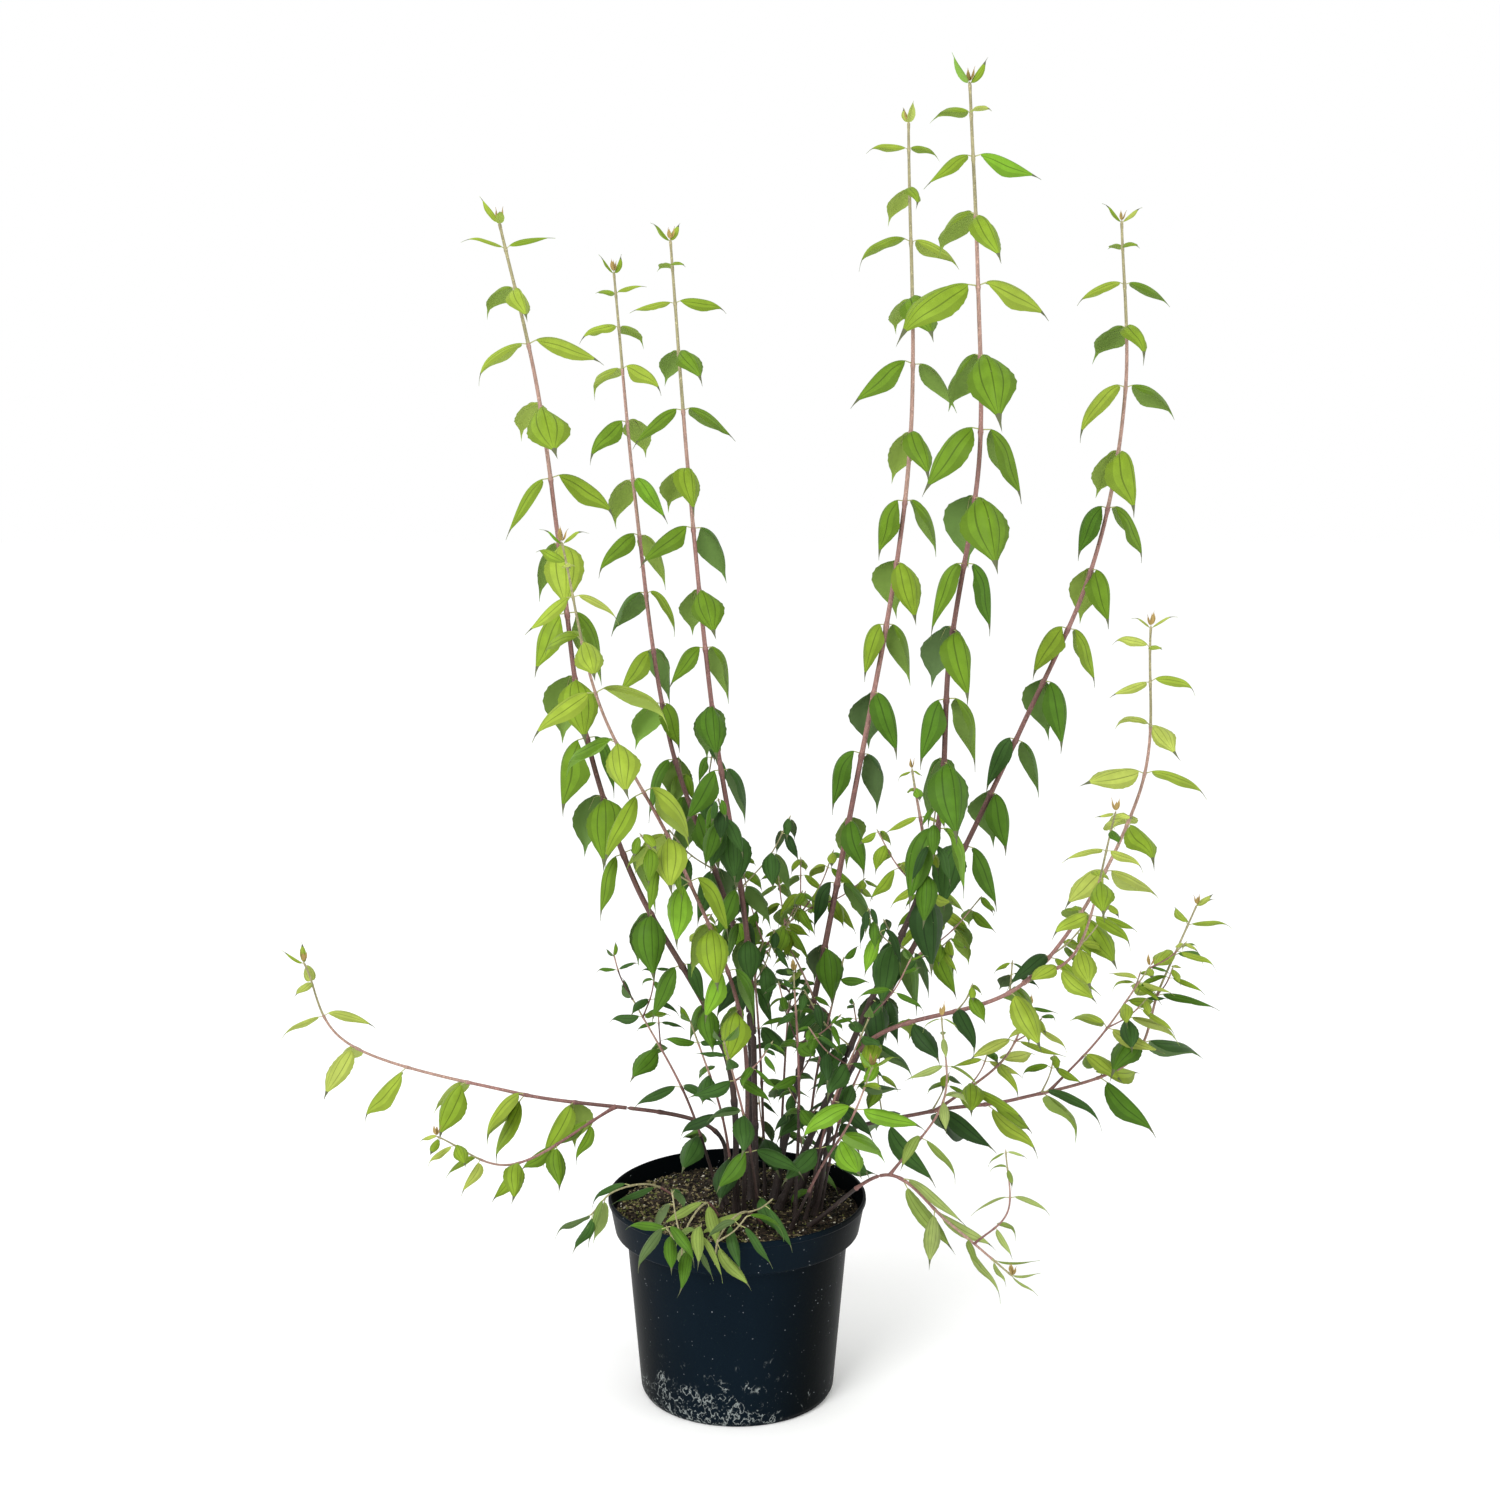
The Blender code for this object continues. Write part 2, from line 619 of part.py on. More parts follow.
def leaf_pairs(space, mass, stem, draw):
    """A stem's leaves in opposite pairs, each where it fits."""
    kept = []
    for number, distance in enumerate(stem.knots):
        share = LEAF_RAMP[number] if number < len(LEAF_RAMP) else 1.0
        age = stem.age + (stem.route.length - distance) / OLD_AFTER
        turn = stem.rule.phase + stem.rule.turn * number
        radius = limb_radius(stem.route, stem.radius, distance, False)
        length = stem.rule.leaf * share * foot_share(distance, stem.start, stem.rule.foot_size)
        width = stem.rule.width
        for leaf in pair_of_leaves(stem.route, distance, turn, length, width, age, radius, draw):
            for swing in SWINGS:
                tried = swung(leaf, swing)
                if leaf_fits(space, mass, tried):
                    space.add(mass, *leaf_cage(tried))
                    kept.append(tried)
                    break
    return kept


def twig_stems(space, mass, shoot, route, draw):
    """Short twigs low on a shoot, each turned until it is clear of its neighbours."""
    stems = []
    for number in range(shoot.twigs):
        foot = route.at(shoot.bare + TWIG_FIRST + TWIG_STEP * number + draw.uniform(0.0, TWIG_STRAY))
        turn, length, phase = draw.uniform(0, 360), draw.uniform(*TWIG_LENGTH), draw.uniform(0, 90)
        for swing in range(0, 360, TWIG_TURN):
            angle = math.radians(turn + swing)
            out = Vector((math.cos(angle), math.sin(angle), 0.0))
            way = [foot + (out * far + Vector((0, 0, up))) * length for far, up in (TWIG_BEND, TWIG_END)]
            twig = Route([tuple(foot), *(tuple(p) for p in way)])
            rule = Rule(phase, QUARTER_TURN, TWIG_GAP, TWIG_LEAF)
            knots = leaf_knots(twig, BARE_FOOT, rule, draw)
            mesh = stretch(mass, twig, TWIG_RADIUS, SUNK, twig.length)
            faces = [tuple(p.vertices) for p in mesh.polygons]
            if space.is_free([v.co for v in mesh.vertices], faces, skip=mass):
                stems.append(Stem(twig, TWIG_RADIUS, BARE_FOOT, rule, knots, TWIG_AGE, mesh))
                break
    return stems


def joined_mass(name, stems, leaves, group, look):
    """One solid from a shoot's stems and leaves, by one union on a collection."""
    extra = collection(f"{name} parts")
    for i, stem in enumerate(stems[1:]):
        mesh_object(f"{name} twig {i}", stem.mesh, extra)
    for i, leaf in enumerate(leaves):
        points, faces = leaf_cage(leaf)
        mesh = bpy.data.meshes.new(f"{name} leaf {i}")
        mesh.from_pydata(points, [], faces)
        work = bmesh.new()
        work.from_mesh(mesh)
        bmesh.ops.triangulate(work, faces=work.faces)
        bmesh.ops.recalc_face_normals(work, faces=work.faces)
        work.to_mesh(mesh)
        work.free()
        mesh_object(f"{name} leaf {i}", mesh, extra)
    mass = mesh_object(name, stems[0].mesh, group, look)
    union = mass.modifiers.new("join", "BOOLEAN")
    union.operation = "UNION"
    union.operand_type = "COLLECTION"
    union.collection = extra
    mass.data = evaluated_mesh(mass)
    mass.modifiers.clear()
    for part in list(extra.objects):
        bpy.data.objects.remove(part, do_unlink=True)
    bpy.data.collections.remove(extra)
    return mass


def tuft_way(angle, ring, length, lean):
    """A tuft's line: from its foot on the ring it leans out, and more so in its upper half."""
    out = Vector((math.cos(angle), math.sin(angle), 0.0))
    foot = CROWN + out * ring
    over = lean + math.radians(TUFT_ARCH)
    half, up = length / 2, Vector((0, 0, 1))
    middle = foot + out * half * math.sin(lean) + up * (COMPOST_TOP + half * math.cos(lean))
    tip = middle + out * half * math.sin(over) + up * half * math.cos(over)
    return (foot.x, foot.y), tuple(middle), tuple(tip)


def tuft_row(space, number):
    """A tuft round the crown, turned on from its place until its stem is clear of the others."""
    draw = random.Random(TUFT_SEED + number)
    ring, length = draw.uniform(*TUFT_RING), draw.uniform(*TUFT_LENGTH)
    lean, phase = math.radians(draw.uniform(*TUFT_LEAN)), draw.uniform(0, QUARTER_TURN)
    for swing in TUFT_SWINGS:
        angle = math.radians(TUFT_FIRST_TURN + number * GOLDEN_ANGLE + swing)
        way = tuft_way(angle, ring, length, lean)
        route = Route(way)
        mesh = stretch("tuft", route, TUFT_FOOT_RADIUS + 2 * CLEAR, 0.0, route.length)
        if space.is_free([v.co for v in mesh.vertices], [tuple(p.vertices) for p in mesh.polygons], "compost"):
            break
    return Shoot("tuft", way, 0.0, TUFT_FOOT_RADIUS, phase, QUARTER_TURN, TUFT_GAP, TUFT_LEAF)


def grow_stems(space, name, shoot, seed):
    """A mass's name, its stems (a shoot's own, its forks and its twigs) and the draws for its leaves."""
    draw = random.Random(seed)
    route = Route(shoot.way)
    start = shoot.bare + CLEAR if shoot.bare else 0.0
    rule = Rule(shoot.phase, shoot.turn, shoot.gap, shoot.leaf, shoot.width, shoot.foot_size)
    knots = leaf_knots(route, start, rule, draw)
    side = []
    for fork in shoot.forks:
        branch = Route([tuple(route.at(fork.at)), *fork.way])
        radius = FORK_SHARE * limb_radius(route, shoot.foot_radius, fork.at, False)
        fork_rule = Rule(fork.phase, fork.turn, fork.gap, fork.leaf, shoot.width)
        fork_knots = leaf_knots(branch, BARE_FOOT, fork_rule, draw)
        mesh = stretch(name, branch, radius, SUNK, branch.length)
        side.append(Stem(branch, radius, BARE_FOOT, fork_rule, fork_knots, FORK_AGE, mesh))
    side += twig_stems(space, name, shoot, route, draw)
    mesh = stretch(name, route, shoot.foot_radius, start, route.length)
    stems = [Stem(route, shoot.foot_radius, start, rule, knots, 0.0, mesh), *side]
    for stem in stems:
        space.add_mesh(name, stem.mesh)
    return name, stems, draw


def main():
    clear_scene()
    plant = collection("potted mock orange")
    cutters = collection("cutters")
    space = Space()
    for solid in (build_pot(plant, cutters), build_compost(plant)):
        space.add_mesh(solid.name, solid.data)
    for shoot in SHOOTS:
        name = f"cane_{shoot.name}"
        mesh = stretch(name, Route(shoot.way), shoot.foot_radius, 0.0, shoot.bare, True)
        mesh_object(name, mesh, plant, material(f"{name} bark", BARK, 0.7))
        space.add_mesh(name, mesh)
    seeds = count(FIRST_SEED)
    masses = [grow_stems(space, f"shoot_{row.name}", row, next(seeds)) for row in SHOOTS]
    masses += [grow_stems(space, f"spray_{row.name}", row, next(seeds)) for row in SPRAYS]
    masses += [grow_stems(space, f"tuft_{i + 1:02d}", tuft_row(space, i), next(seeds)) for i in range(TUFTS)]
    total = 0
    for name, stems, draw in masses:
        leaves = [leaf for stem in stems for leaf in leaf_pairs(space, name, stem, draw)]
        green = DARK_GREEN if name.startswith("tuft") else LEAF_GREEN
        joined_mass(name, stems, leaves, plant, material(f"{name} green", green, 0.55))
        total += len(leaves)
    print(f"{len(plant.objects)} solids, {total} leaves")


main()
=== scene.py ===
# %% [markdown]
# # A young mock orange in its nursery pot
# The plant is a clump of slender canes with pointed leaves in opposite pairs. Its plain solids come from the
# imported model. This script makes fine stems, leaves, twigs, bark, compost and pot in their places. One
# could model each leaf by hand, but there are many hundreds, and one rule grows them all. All sizes are
# metres.

# %% Load the plain solids
import json
import math
import random
from collections import namedtuple

import bmesh
import bpy
import numpy as np
from mathutils import Matrix, Vector, noise
from mathutils.bvhtree import BVHTree

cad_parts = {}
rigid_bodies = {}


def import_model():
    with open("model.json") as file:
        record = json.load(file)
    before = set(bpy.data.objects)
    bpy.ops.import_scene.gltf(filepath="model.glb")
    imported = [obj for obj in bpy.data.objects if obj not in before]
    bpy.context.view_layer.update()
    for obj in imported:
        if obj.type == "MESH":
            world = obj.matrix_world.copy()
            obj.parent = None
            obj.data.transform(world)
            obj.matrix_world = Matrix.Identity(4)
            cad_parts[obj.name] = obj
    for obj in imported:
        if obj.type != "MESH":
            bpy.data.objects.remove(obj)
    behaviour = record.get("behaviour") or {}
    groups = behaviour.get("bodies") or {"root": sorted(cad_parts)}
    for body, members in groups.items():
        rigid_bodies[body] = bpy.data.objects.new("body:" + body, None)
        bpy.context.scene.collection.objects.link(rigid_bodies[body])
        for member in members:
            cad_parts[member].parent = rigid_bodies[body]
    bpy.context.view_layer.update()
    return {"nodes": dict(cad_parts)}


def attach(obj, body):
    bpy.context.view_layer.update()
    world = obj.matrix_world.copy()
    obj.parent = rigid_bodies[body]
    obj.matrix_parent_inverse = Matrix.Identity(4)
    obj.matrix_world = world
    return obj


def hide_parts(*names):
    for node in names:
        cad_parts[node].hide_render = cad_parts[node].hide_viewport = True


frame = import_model()
nodes = frame["nodes"]

# %% [markdown]
# ## Shader sums in plain Python
# A material is a tree of nodes. The tree could be wired up node by node, but its sums are easier to read
# as sums. A `Value` wraps a socket, so that `1 - mask` makes a Math node. A `Look` is a material, and its
# `node` method makes any other node.


# %% A socket that adds up
class Value:
    """An output socket that takes part in sums."""

    def __init__(self, look, socket):
        self.look, self.socket = look, socket

    def sum(self, operation, first, second):
        return self.look.node("ShaderNodeMath", {"operation": operation}, {0: first, 1: second})

    def __add__(self, other):
        return self.sum("ADD", self, other)

    def __sub__(self, other):
        return self.sum("SUBTRACT", self, other)

    def __rsub__(self, other):
        return self.sum("SUBTRACT", other, self)

    def __mul__(self, other):
        return self.sum("MULTIPLY", self, other)

    __radd__, __rmul__ = __add__, __mul__


# %% A material
class Look:
    """A material. Its roughness and other even values are set on the shader itself."""

    # The Mix node has sockets of many kinds, and these are the numbers of those for colours.
    SHARE, FIRST, SECOND, MIXED = 0, 6, 7, 2

    def __init__(self, name, colour, roughness, **even):
        self.material = bpy.data.materials.new(name)
        self.material.use_nodes = True
        self.tree = self.material.node_tree
        self.shader = self.tree.nodes["Principled BSDF"]
        self.set("Base Color", (*colour, 1.0))
        self.set("Roughness", roughness)
        for socket, value in even.items():
            self.set(socket.replace("_", " "), value)

    def put(self, socket, value):
        """Links a Value to a socket, or sets a plain value there."""
        if isinstance(value, Value):
            self.tree.links.new(value.socket, socket)
        else:
            socket.default_value = value

    def set(self, name, value):
        """Sets one of the shader's own sockets."""
        self.put(self.shader.inputs[name], value)

    def node(self, kind, settings=None, values=None, output=0):
        """A new node: its settings first, then its sockets. Returns one of its outputs."""
        made = self.tree.nodes.new(kind)
        for name, value in (settings or {}).items():
            setattr(made, name, value)
        for name, value in (values or {}).items():
            self.put(made.inputs[name], value)
        return Value(self, made.outputs[output])

    def place(self):
        """The point on the object, in metres."""
        return self.node("ShaderNodeTexCoord", output="Object")

    def towards(self, side):
        """How far that point lies towards a side."""
        put = {0: self.place(), 1: side}
        return self.node("ShaderNodeVectorMath", {"operation": "DOT_PRODUCT"}, put, "Value")

    def grain(self, size, detail=2.0, stretch=(1.0, 1.0, 1.0)):
        """Soft noise from 0 to 1 whose blotches are about size across."""
        place = self.node("ShaderNodeVectorMath", {"operation": "MULTIPLY"}, {0: self.place(), 1: stretch})
        return self.node("ShaderNodeTexNoise", None, {"Vector": place, "Scale": 1 / size, "Detail": detail})

    def step(self, value, low, high):
        """0 below low, 1 above high, and smooth between."""
        spread = {"interpolation_type": "SMOOTHSTEP"}
        return self.node("ShaderNodeMapRange", spread, {"Value": value, "From Min": low, "From Max": high})

    def mix(self, share, first, second):
        """A colour between two. The first may be a Value."""
        first = first if isinstance(first, Value) else (*first, 1.0)
        put = {self.SHARE: share, self.FIRST: first, self.SECOND: (*second, 1.0)}
        return self.node("ShaderNodeMix", {"data_type": "RGBA"}, put, self.MIXED)

    def bump(self, height, distance):
        """Relief of a given depth, put on the shader's normal."""
        self.set("Normal", self.node("ShaderNodeBump", None, {"Height": height, "Distance": distance}))


# %% Darker colours
def deeper(colour, share):
    """A colour darkened to a share of itself."""
    return tuple(c * share for c in colour)


# %% [markdown]
# ## The rule that the plant grows by
# The solids were grown by a rule, and the same rule is written here, so that each fine leaf lies where its
# plain one does. A stem is a smooth line through a few points. Pairs of leaves stand along it, each pair
# about a quarter turn from the one above, small at the tip and hanging with age. A leaf that would touch
# another stem is swung aside or left out.

# %% Sizes of stems
COMPOST_TOP = 0.168
CLEAR = 0.0003
WELD = CLEAR / 30
SEAM_WELD = CLEAR / 10
TIP_SHARE = 0.38
LEAST_TIP_RADIUS = 0.0006
TAPER_POWER = 0.7
FLARE_SHARE = 0.75
FLARE_LENGTH = 0.007
FOOT_RINGS = (0.0015, 0.004, 0.012)
BEND_SHARE = 0.25
LONGEST_STRETCH = 0.12
SUNK = 0.0001
FORK_SHARE = 0.8
FORK_AGE = 0.1
BARE_FOOT = 0.015

# %% Sizes of twigs
TWIG_RADIUS = 0.0009
TWIG_GAP = 0.042
TWIG_LEAF = 0.043
TWIG_LENGTH = (0.075, 0.11)
TWIG_FIRST = 0.03
TWIG_STEP = 0.055
TWIG_STRAY = 0.015
TWIG_BEND = (0.42, 0.30)
TWIG_END = (0.86, 0.44)
TWIG_AGE = 0.35
TWIG_TURN = 45
WHOLE_TURN = 360

# %% Where leaves stand
LEAF_RAMP = (0.36, 0.54, 0.74, 0.88)
GAP_RAMP = (0.36, 0.58, 0.76, 0.90)
TIP_ROOM = 0.004
FOOT_ROOM = 0.006
GAP_STRAY = (0.93, 1.07)
FOOT_SIZE = 0.74
FOOT_REACH = 0.16
QUARTER_TURN = 90.0
SWINGS = (0, 18, -18, 36, -36)

# %% How a leaf is shaped and held
LEAF_WIDTH = 0.49
NARROW_LEAF = 0.28
WIDEST_AT = 0.27
TAPER_AT = 0.66
TAPER_WIDTH = 0.60
SMALL_WIDEST_AT = 0.36
LEAST_THICKNESS = 0.0007
RIDGE_OF_WIDTH = 0.12
MIDRIB_POINTS = 13
ROOT_DEPTH = 0.5
SMALL_LEAF = 0.045
FOOT_STALK = 0.16
ARCH_POWER = 3.6
LENGTH_STRAY = (0.88, 1.10)
WIDTH_STRAY = (0.92, 1.08)
PAIR_LEAN = 42.0
LEAN_STRAY = 9.0
TIP_LEAN = 26.0
TIP_RISE = 78.0
TIP_FALL = -22.0
OLD_FALL = -88.0
FALL_STRAY = 16.0
FALL_LIMIT = -92.0
LEAST_ARCH = 25.0
STEEPEST_SINE = 0.95
OLD_AFTER = 0.38
YOUNG = 0.092
TURN_STRAY = 0.16
ROLL = 0.38
FLATTEST = 0.2
FLAT_ALONG = 0.4
FLAT_OUT = 0.2

# %% Names for what grows
Shoot = namedtuple(
    "Shoot", "name way bare foot_radius phase gap leaf forks twigs foot_size width",
    defaults=((), 0, FOOT_SIZE, LEAF_WIDTH),
)
Fork = namedtuple("Fork", "at way phase gap leaf")
Rule = namedtuple("Rule", "phase gap leaf width foot_size", defaults=(LEAF_WIDTH, FOOT_SIZE))
Stem = namedtuple("Stem", "route radius start rule knots age mesh")
Leaf = namedtuple("Leaf", "root heading rise fall length width roll")

# %% [markdown]
# ## The canes
# Thirteen canes rise from one crown. Each has the points that its line goes through, from its foot at the
# compost to its tip, how much of it is bare, and how its leaves stand. Three thin sprays arch over the pot's
# front edge.

# %% The four canes on the left
LEFT_CANES = (
    Shoot(
        "left_outer",
        ((0.000, -0.012), (-0.010, -0.030, 0.320), (-0.085, -0.050, 0.475), (-0.125, -0.070, 0.615),
         (-0.140, -0.090, 0.755), (-0.155, -0.110, 0.890), (-0.180, -0.130, 1.015)),
        0.190, 0.0028, 110, 0.055, 0.072, twigs=1,
    ),
    Shoot(
        "left_light",
        ((0.006, -0.030), (0.005, -0.070, 0.355), (-0.045, -0.120, 0.510), (-0.105, -0.165, 0.645),
         (-0.130, -0.210, 0.780)),
        0.175, 0.0020, 20, 0.048, 0.068,
    ),
    Shoot(
        "left_middle",
        ((0.012, 0.016), (0.005, 0.060, 0.370), (-0.060, 0.105, 0.565), (-0.090, 0.155, 0.765),
         (-0.110, 0.200, 0.970)),
        0.165, 0.0026, 50, 0.051, 0.066, twigs=1,
    ),
    Shoot(
        "left_inner",
        ((0.017, -0.002), (0.010, 0.015, 0.395), (-0.020, 0.025, 0.600), (-0.040, 0.035, 0.800),
         (-0.055, 0.050, 1.000)),
        0.155, 0.0027, 20, 0.052, 0.062, twigs=1,
    ),
)

# %% The three canes on the right, and the short middle one
RIGHT_CANES = (
    Shoot(
        "right_inner",
        ((0.032, 0.018), (0.095, 0.075, 0.480), (0.150, 0.135, 0.800), (0.150, 0.190, 1.100)),
        0.145, 0.0029, 110, 0.058, 0.072, twigs=1,
    ),
    Shoot(
        "right_tall",
        ((0.036, -0.006), (0.105, -0.020, 0.340), (0.165, -0.035, 0.500), (0.175, -0.045, 0.665),
         (0.195, -0.060, 0.825), (0.190, -0.075, 0.975), (0.180, -0.090, 1.120)),
        0.155, 0.0029, 20, 0.057, 0.080,
        (Fork(0.275, ((0.160, -0.005, 0.475), (0.150, 0.030, 0.555)), 20, 0.044, 0.052),),
    ),
    Shoot(
        "right_outer",
        ((0.050, 0.014), (0.110, 0.025, 0.310), (0.180, 0.040, 0.445), (0.245, 0.050, 0.585),
         (0.305, 0.065, 0.725), (0.330, 0.075, 0.870), (0.325, 0.090, 1.015)),
        0.160, 0.0028, 20, 0.052, 0.070, twigs=1,
    ),
    Shoot(
        "centre",
        ((0.050, -0.032), (0.053, -0.036, 0.290), (0.048, -0.040, 0.395)),
        0.085, 0.0016, 30, 0.038, 0.042,
    ),
)

# %% The five low canes, which lean out
LOW_CANES = (
    Shoot(
        "right_grey",
        ((0.067, -0.019), (0.105, -0.052, 0.330), (0.240, -0.085, 0.400), (0.320, -0.130, 0.565),
         (0.320, -0.170, 0.710)),
        0.165, 0.0022, 20, 0.048, 0.062,
        (Fork(0.325, ((0.275, -0.140, 0.445), (0.290, -0.220, 0.575)), 0, 0.043, 0.054),),
    ),
    Shoot(
        "far_right",
        ((0.067, -0.001), (0.082, -0.004, 0.232), (0.170, 0.030, 0.245), (0.250, 0.050, 0.250),
         (0.350, 0.075, 0.275), (0.380, 0.095, 0.340), (0.415, 0.120, 0.410)),
        0.085, 0.0020, 40, 0.052, 0.060,
        (Fork(0.170, ((0.230, 0.005, 0.300), (0.250, -0.025, 0.360)), 0, 0.046, 0.058),
         Fork(0.275, ((0.325, 0.075, 0.300), (0.365, 0.060, 0.370)), 60, 0.046, 0.062)),
        foot_size=1.2,
    ),
    Shoot(
        "low_right",
        ((0.062, -0.045), (0.125, -0.090, 0.232), (0.175, -0.128, 0.205), (0.225, -0.170, 0.175)),
        0.095, 0.0018, 20, 0.052, 0.070,
        (Fork(0.105, ((0.170, -0.115, 0.305), (0.165, -0.150, 0.390)), 0, 0.056, 0.054),
         Fork(0.200, ((0.220, -0.165, 0.230), (0.215, -0.185, 0.290)), 10, 0.056, 0.054)),
        foot_size=1.1, width=0.34,
    ),
    Shoot(
        "front",
        ((0.046, -0.052), (0.070, -0.085, 0.235), (0.095, -0.102, 0.285), (0.112, -0.112, 0.335)),
        0.080, 0.0014, 0, 0.048, 0.092,
    ),
    Shoot(
        "low_left",
        ((-0.010, 0.006), (-0.027, 0.010, 0.240), (-0.190, 0.020, 0.265), (-0.340, 0.035, 0.305),
         (-0.380, 0.040, 0.380)),
        0.150, 0.0020, 0, 0.052, 0.066,
        (Fork(0.160, ((-0.190, -0.060, 0.230), (-0.250, -0.100, 0.270)), 70, 0.050, 0.058),),
        foot_size=1.0,
    ),
)
SHOOTS = LEFT_CANES + RIGHT_CANES + LOW_CANES

# %% The three sprays
SPRAYS = (
    Shoot(
        "front_left",
        ((-0.010, -0.048), (-0.025, -0.085, 0.205), (-0.042, -0.122, 0.196), (-0.046, -0.138, 0.170)),
        0.0, 0.0011, 20, 0.046, 0.064, width=NARROW_LEAF,
    ),
    Shoot(
        "front_middle",
        ((0.028, -0.052), (0.006, -0.092, 0.200), (-0.014, -0.126, 0.192), (-0.018, -0.138, 0.172)),
        0.0, 0.0011, 70, 0.046, 0.064, width=NARROW_LEAF,
    ),
    Shoot(
        "left_edge",
        ((-0.034, -0.020), (-0.070, -0.045, 0.205), (-0.104, -0.066, 0.208), (-0.124, -0.076, 0.190)),
        0.0, 0.0011, 40, 0.048, 0.052, width=NARROW_LEAF,
    ),
)
FIRST_SEED = 100
print(f"{len(SHOOTS)} canes, {len(SPRAYS)} sprays")

# %% Tufts round the crown
CROWN = Vector((0.032, -0.004, 0.0))
TUFT_MASSES = tuple(f"tuft_{i + 1:02d}" for i in range(8))
TUFT_RING = (0.032, 0.046)
TUFT_LENGTH = (0.17, 0.27)
TUFT_LEAN = (6.0, 25.0)
TUFT_ARCH = 10.0
TUFT_SEED = 41
TUFT_FIRST_TURN = 200.0
TUFT_SWINGS = (0, 12, -12, 24, -24, 36, -36, 48, -48)
TUFT_LEAF = 0.062
TUFT_GAP = 0.054
TUFT_FOOT_RADIUS = 0.0014
GOLDEN_ANGLE = 137.5


# %% [markdown]
# ## A limb's line
# A smooth curve goes through the way points, and is read by distance from the foot. Blender's own curves
# could do it, but many points at once are read faster with numpy's `interp`, and the fine bark needs
# thousands of rings.


# %% Read a table
def read_rows(at, places, rows):
    """Rows of three numbers that stand at places, read at one place or at several."""
    return np.stack([np.interp(at, places, rows[:, k]) for k in range(3)], axis=-1)


# %% The line and its thickness
class Route:
    """The smooth line through a limb's way points, read by distance from its foot."""

    SAMPLES = 240

    def __init__(self, way):
        points = np.array([(*p, COMPOST_TOP + CLEAR) if len(p) == 2 else tuple(p) for p in way])
        ends = np.vstack([2 * points[0] - points[1], points, 2 * points[-1] - points[-2]])
        place = np.linspace(0, len(points) - 1, self.SAMPLES)
        span = np.minimum(place.astype(int), len(points) - 2)
        f = (place - span)[:, None]
        a, b, c, d = (ends[span + k] for k in range(4))
        curve = 2 * b + (c - a) * f + (2 * a - 5 * b + 4 * c - d) * f**2
        self.points = 0.5 * (curve + (3 * b - a - 3 * c + d) * f**3)
        steps = np.linalg.norm(np.diff(self.points, axis=0), axis=1)
        self.along = np.concatenate([[0.0], np.cumsum(steps)])
        self.length = float(self.along[-1])

    def many(self, distances):
        """The points at several distances from the foot."""
        return read_rows(distances, self.along, self.points)

    def at(self, distance):
        """The point at a distance from the foot."""
        return Vector(read_rows(distance, self.along, self.points))

    def direction(self, distance):
        """The way that the limb grows there."""
        near = self.length / self.SAMPLES
        low = min(max(distance, near), self.length - near)
        return (self.at(low + near) - self.at(low - near)).normalized()


def limb_radius(route, foot_radius, distance, flare=True):
    """A limb's radius: an even taper, and at the foot a flare."""
    left = np.maximum(0.0, 1.0 - distance / route.length)
    tip = max(LEAST_TIP_RADIUS, TIP_SHARE * foot_radius)
    radius = tip + (foot_radius - tip) * left**TAPER_POWER
    return radius + FLARE_SHARE * foot_radius * np.exp(-distance / FLARE_LENGTH) * flare


# %% New objects and their meshes
def stood(name, data):
    """A new object in the scene."""
    made = bpy.data.objects.new(name, data)
    bpy.context.scene.collection.objects.link(made)
    return made


def real_mesh(made):
    """An object's mesh, with its bevel or modifiers made real."""
    bpy.context.view_layer.update()
    graph = bpy.context.evaluated_depsgraph_get()
    return bpy.data.meshes.new_from_object(made.evaluated_get(graph))


# %% A plain limb, for testing what touches
def limb_mesh(name, points, radii):
    """A tapering limb as a closed mesh: a curve with a four-sided bevel."""
    curve = bpy.data.curves.new(name, "CURVE")
    curve.dimensions = "3D"
    curve.bevel_depth = 1.0
    curve.bevel_resolution = 0
    curve.use_fill_caps = True
    spline = curve.splines.new("POLY")
    spline.points.add(len(points) - 1)
    for knot, point, radius in zip(spline.points, points, radii):
        knot.co = (*point, 1.0)
        knot.radius = radius
    guide = stood(name, curve)
    mesh = real_mesh(guide)
    bpy.data.objects.remove(guide, do_unlink=True)
    work = bmesh.new()
    work.from_mesh(mesh)
    bmesh.ops.remove_doubles(work, verts=work.verts, dist=WELD)
    bmesh.ops.recalc_face_normals(work, faces=work.faces)
    work.to_mesh(mesh)
    work.free()
    return mesh


# %% A stretch of a plain limb
def bends(route, foot_radius, low, high):
    """Distances from low to high at which a limb needs a ring, close together where it bends."""
    middle = (low + high) / 2
    off = (route.at(middle) - (route.at(low) + route.at(high)) / 2).length
    if off < BEND_SHARE * limb_radius(route, foot_radius, middle, False) and high - low < LONGEST_STRETCH:
        return [low, high]
    return bends(route, foot_radius, low, middle)[:-1] + bends(route, foot_radius, middle, high)


def stretch(name, route, foot_radius, start, end):
    """The stretch of a limb from start to end. At the compost it has a level cut and a flare."""
    if start:
        places = bends(route, foot_radius, start, end)
        points = [route.at(s) for s in places]
    else:
        level, low, high = FOOT_RINGS
        places = [0.0, level, low, *bends(route, foot_radius, high, end)]
        points = [route.at(s) for s in places]
        points[1] = points[0] + Vector((0.0, 0.0, level))
    radii = [limb_radius(route, foot_radius, s, start == 0.0) for s in places]
    return limb_mesh(name, points, radii)


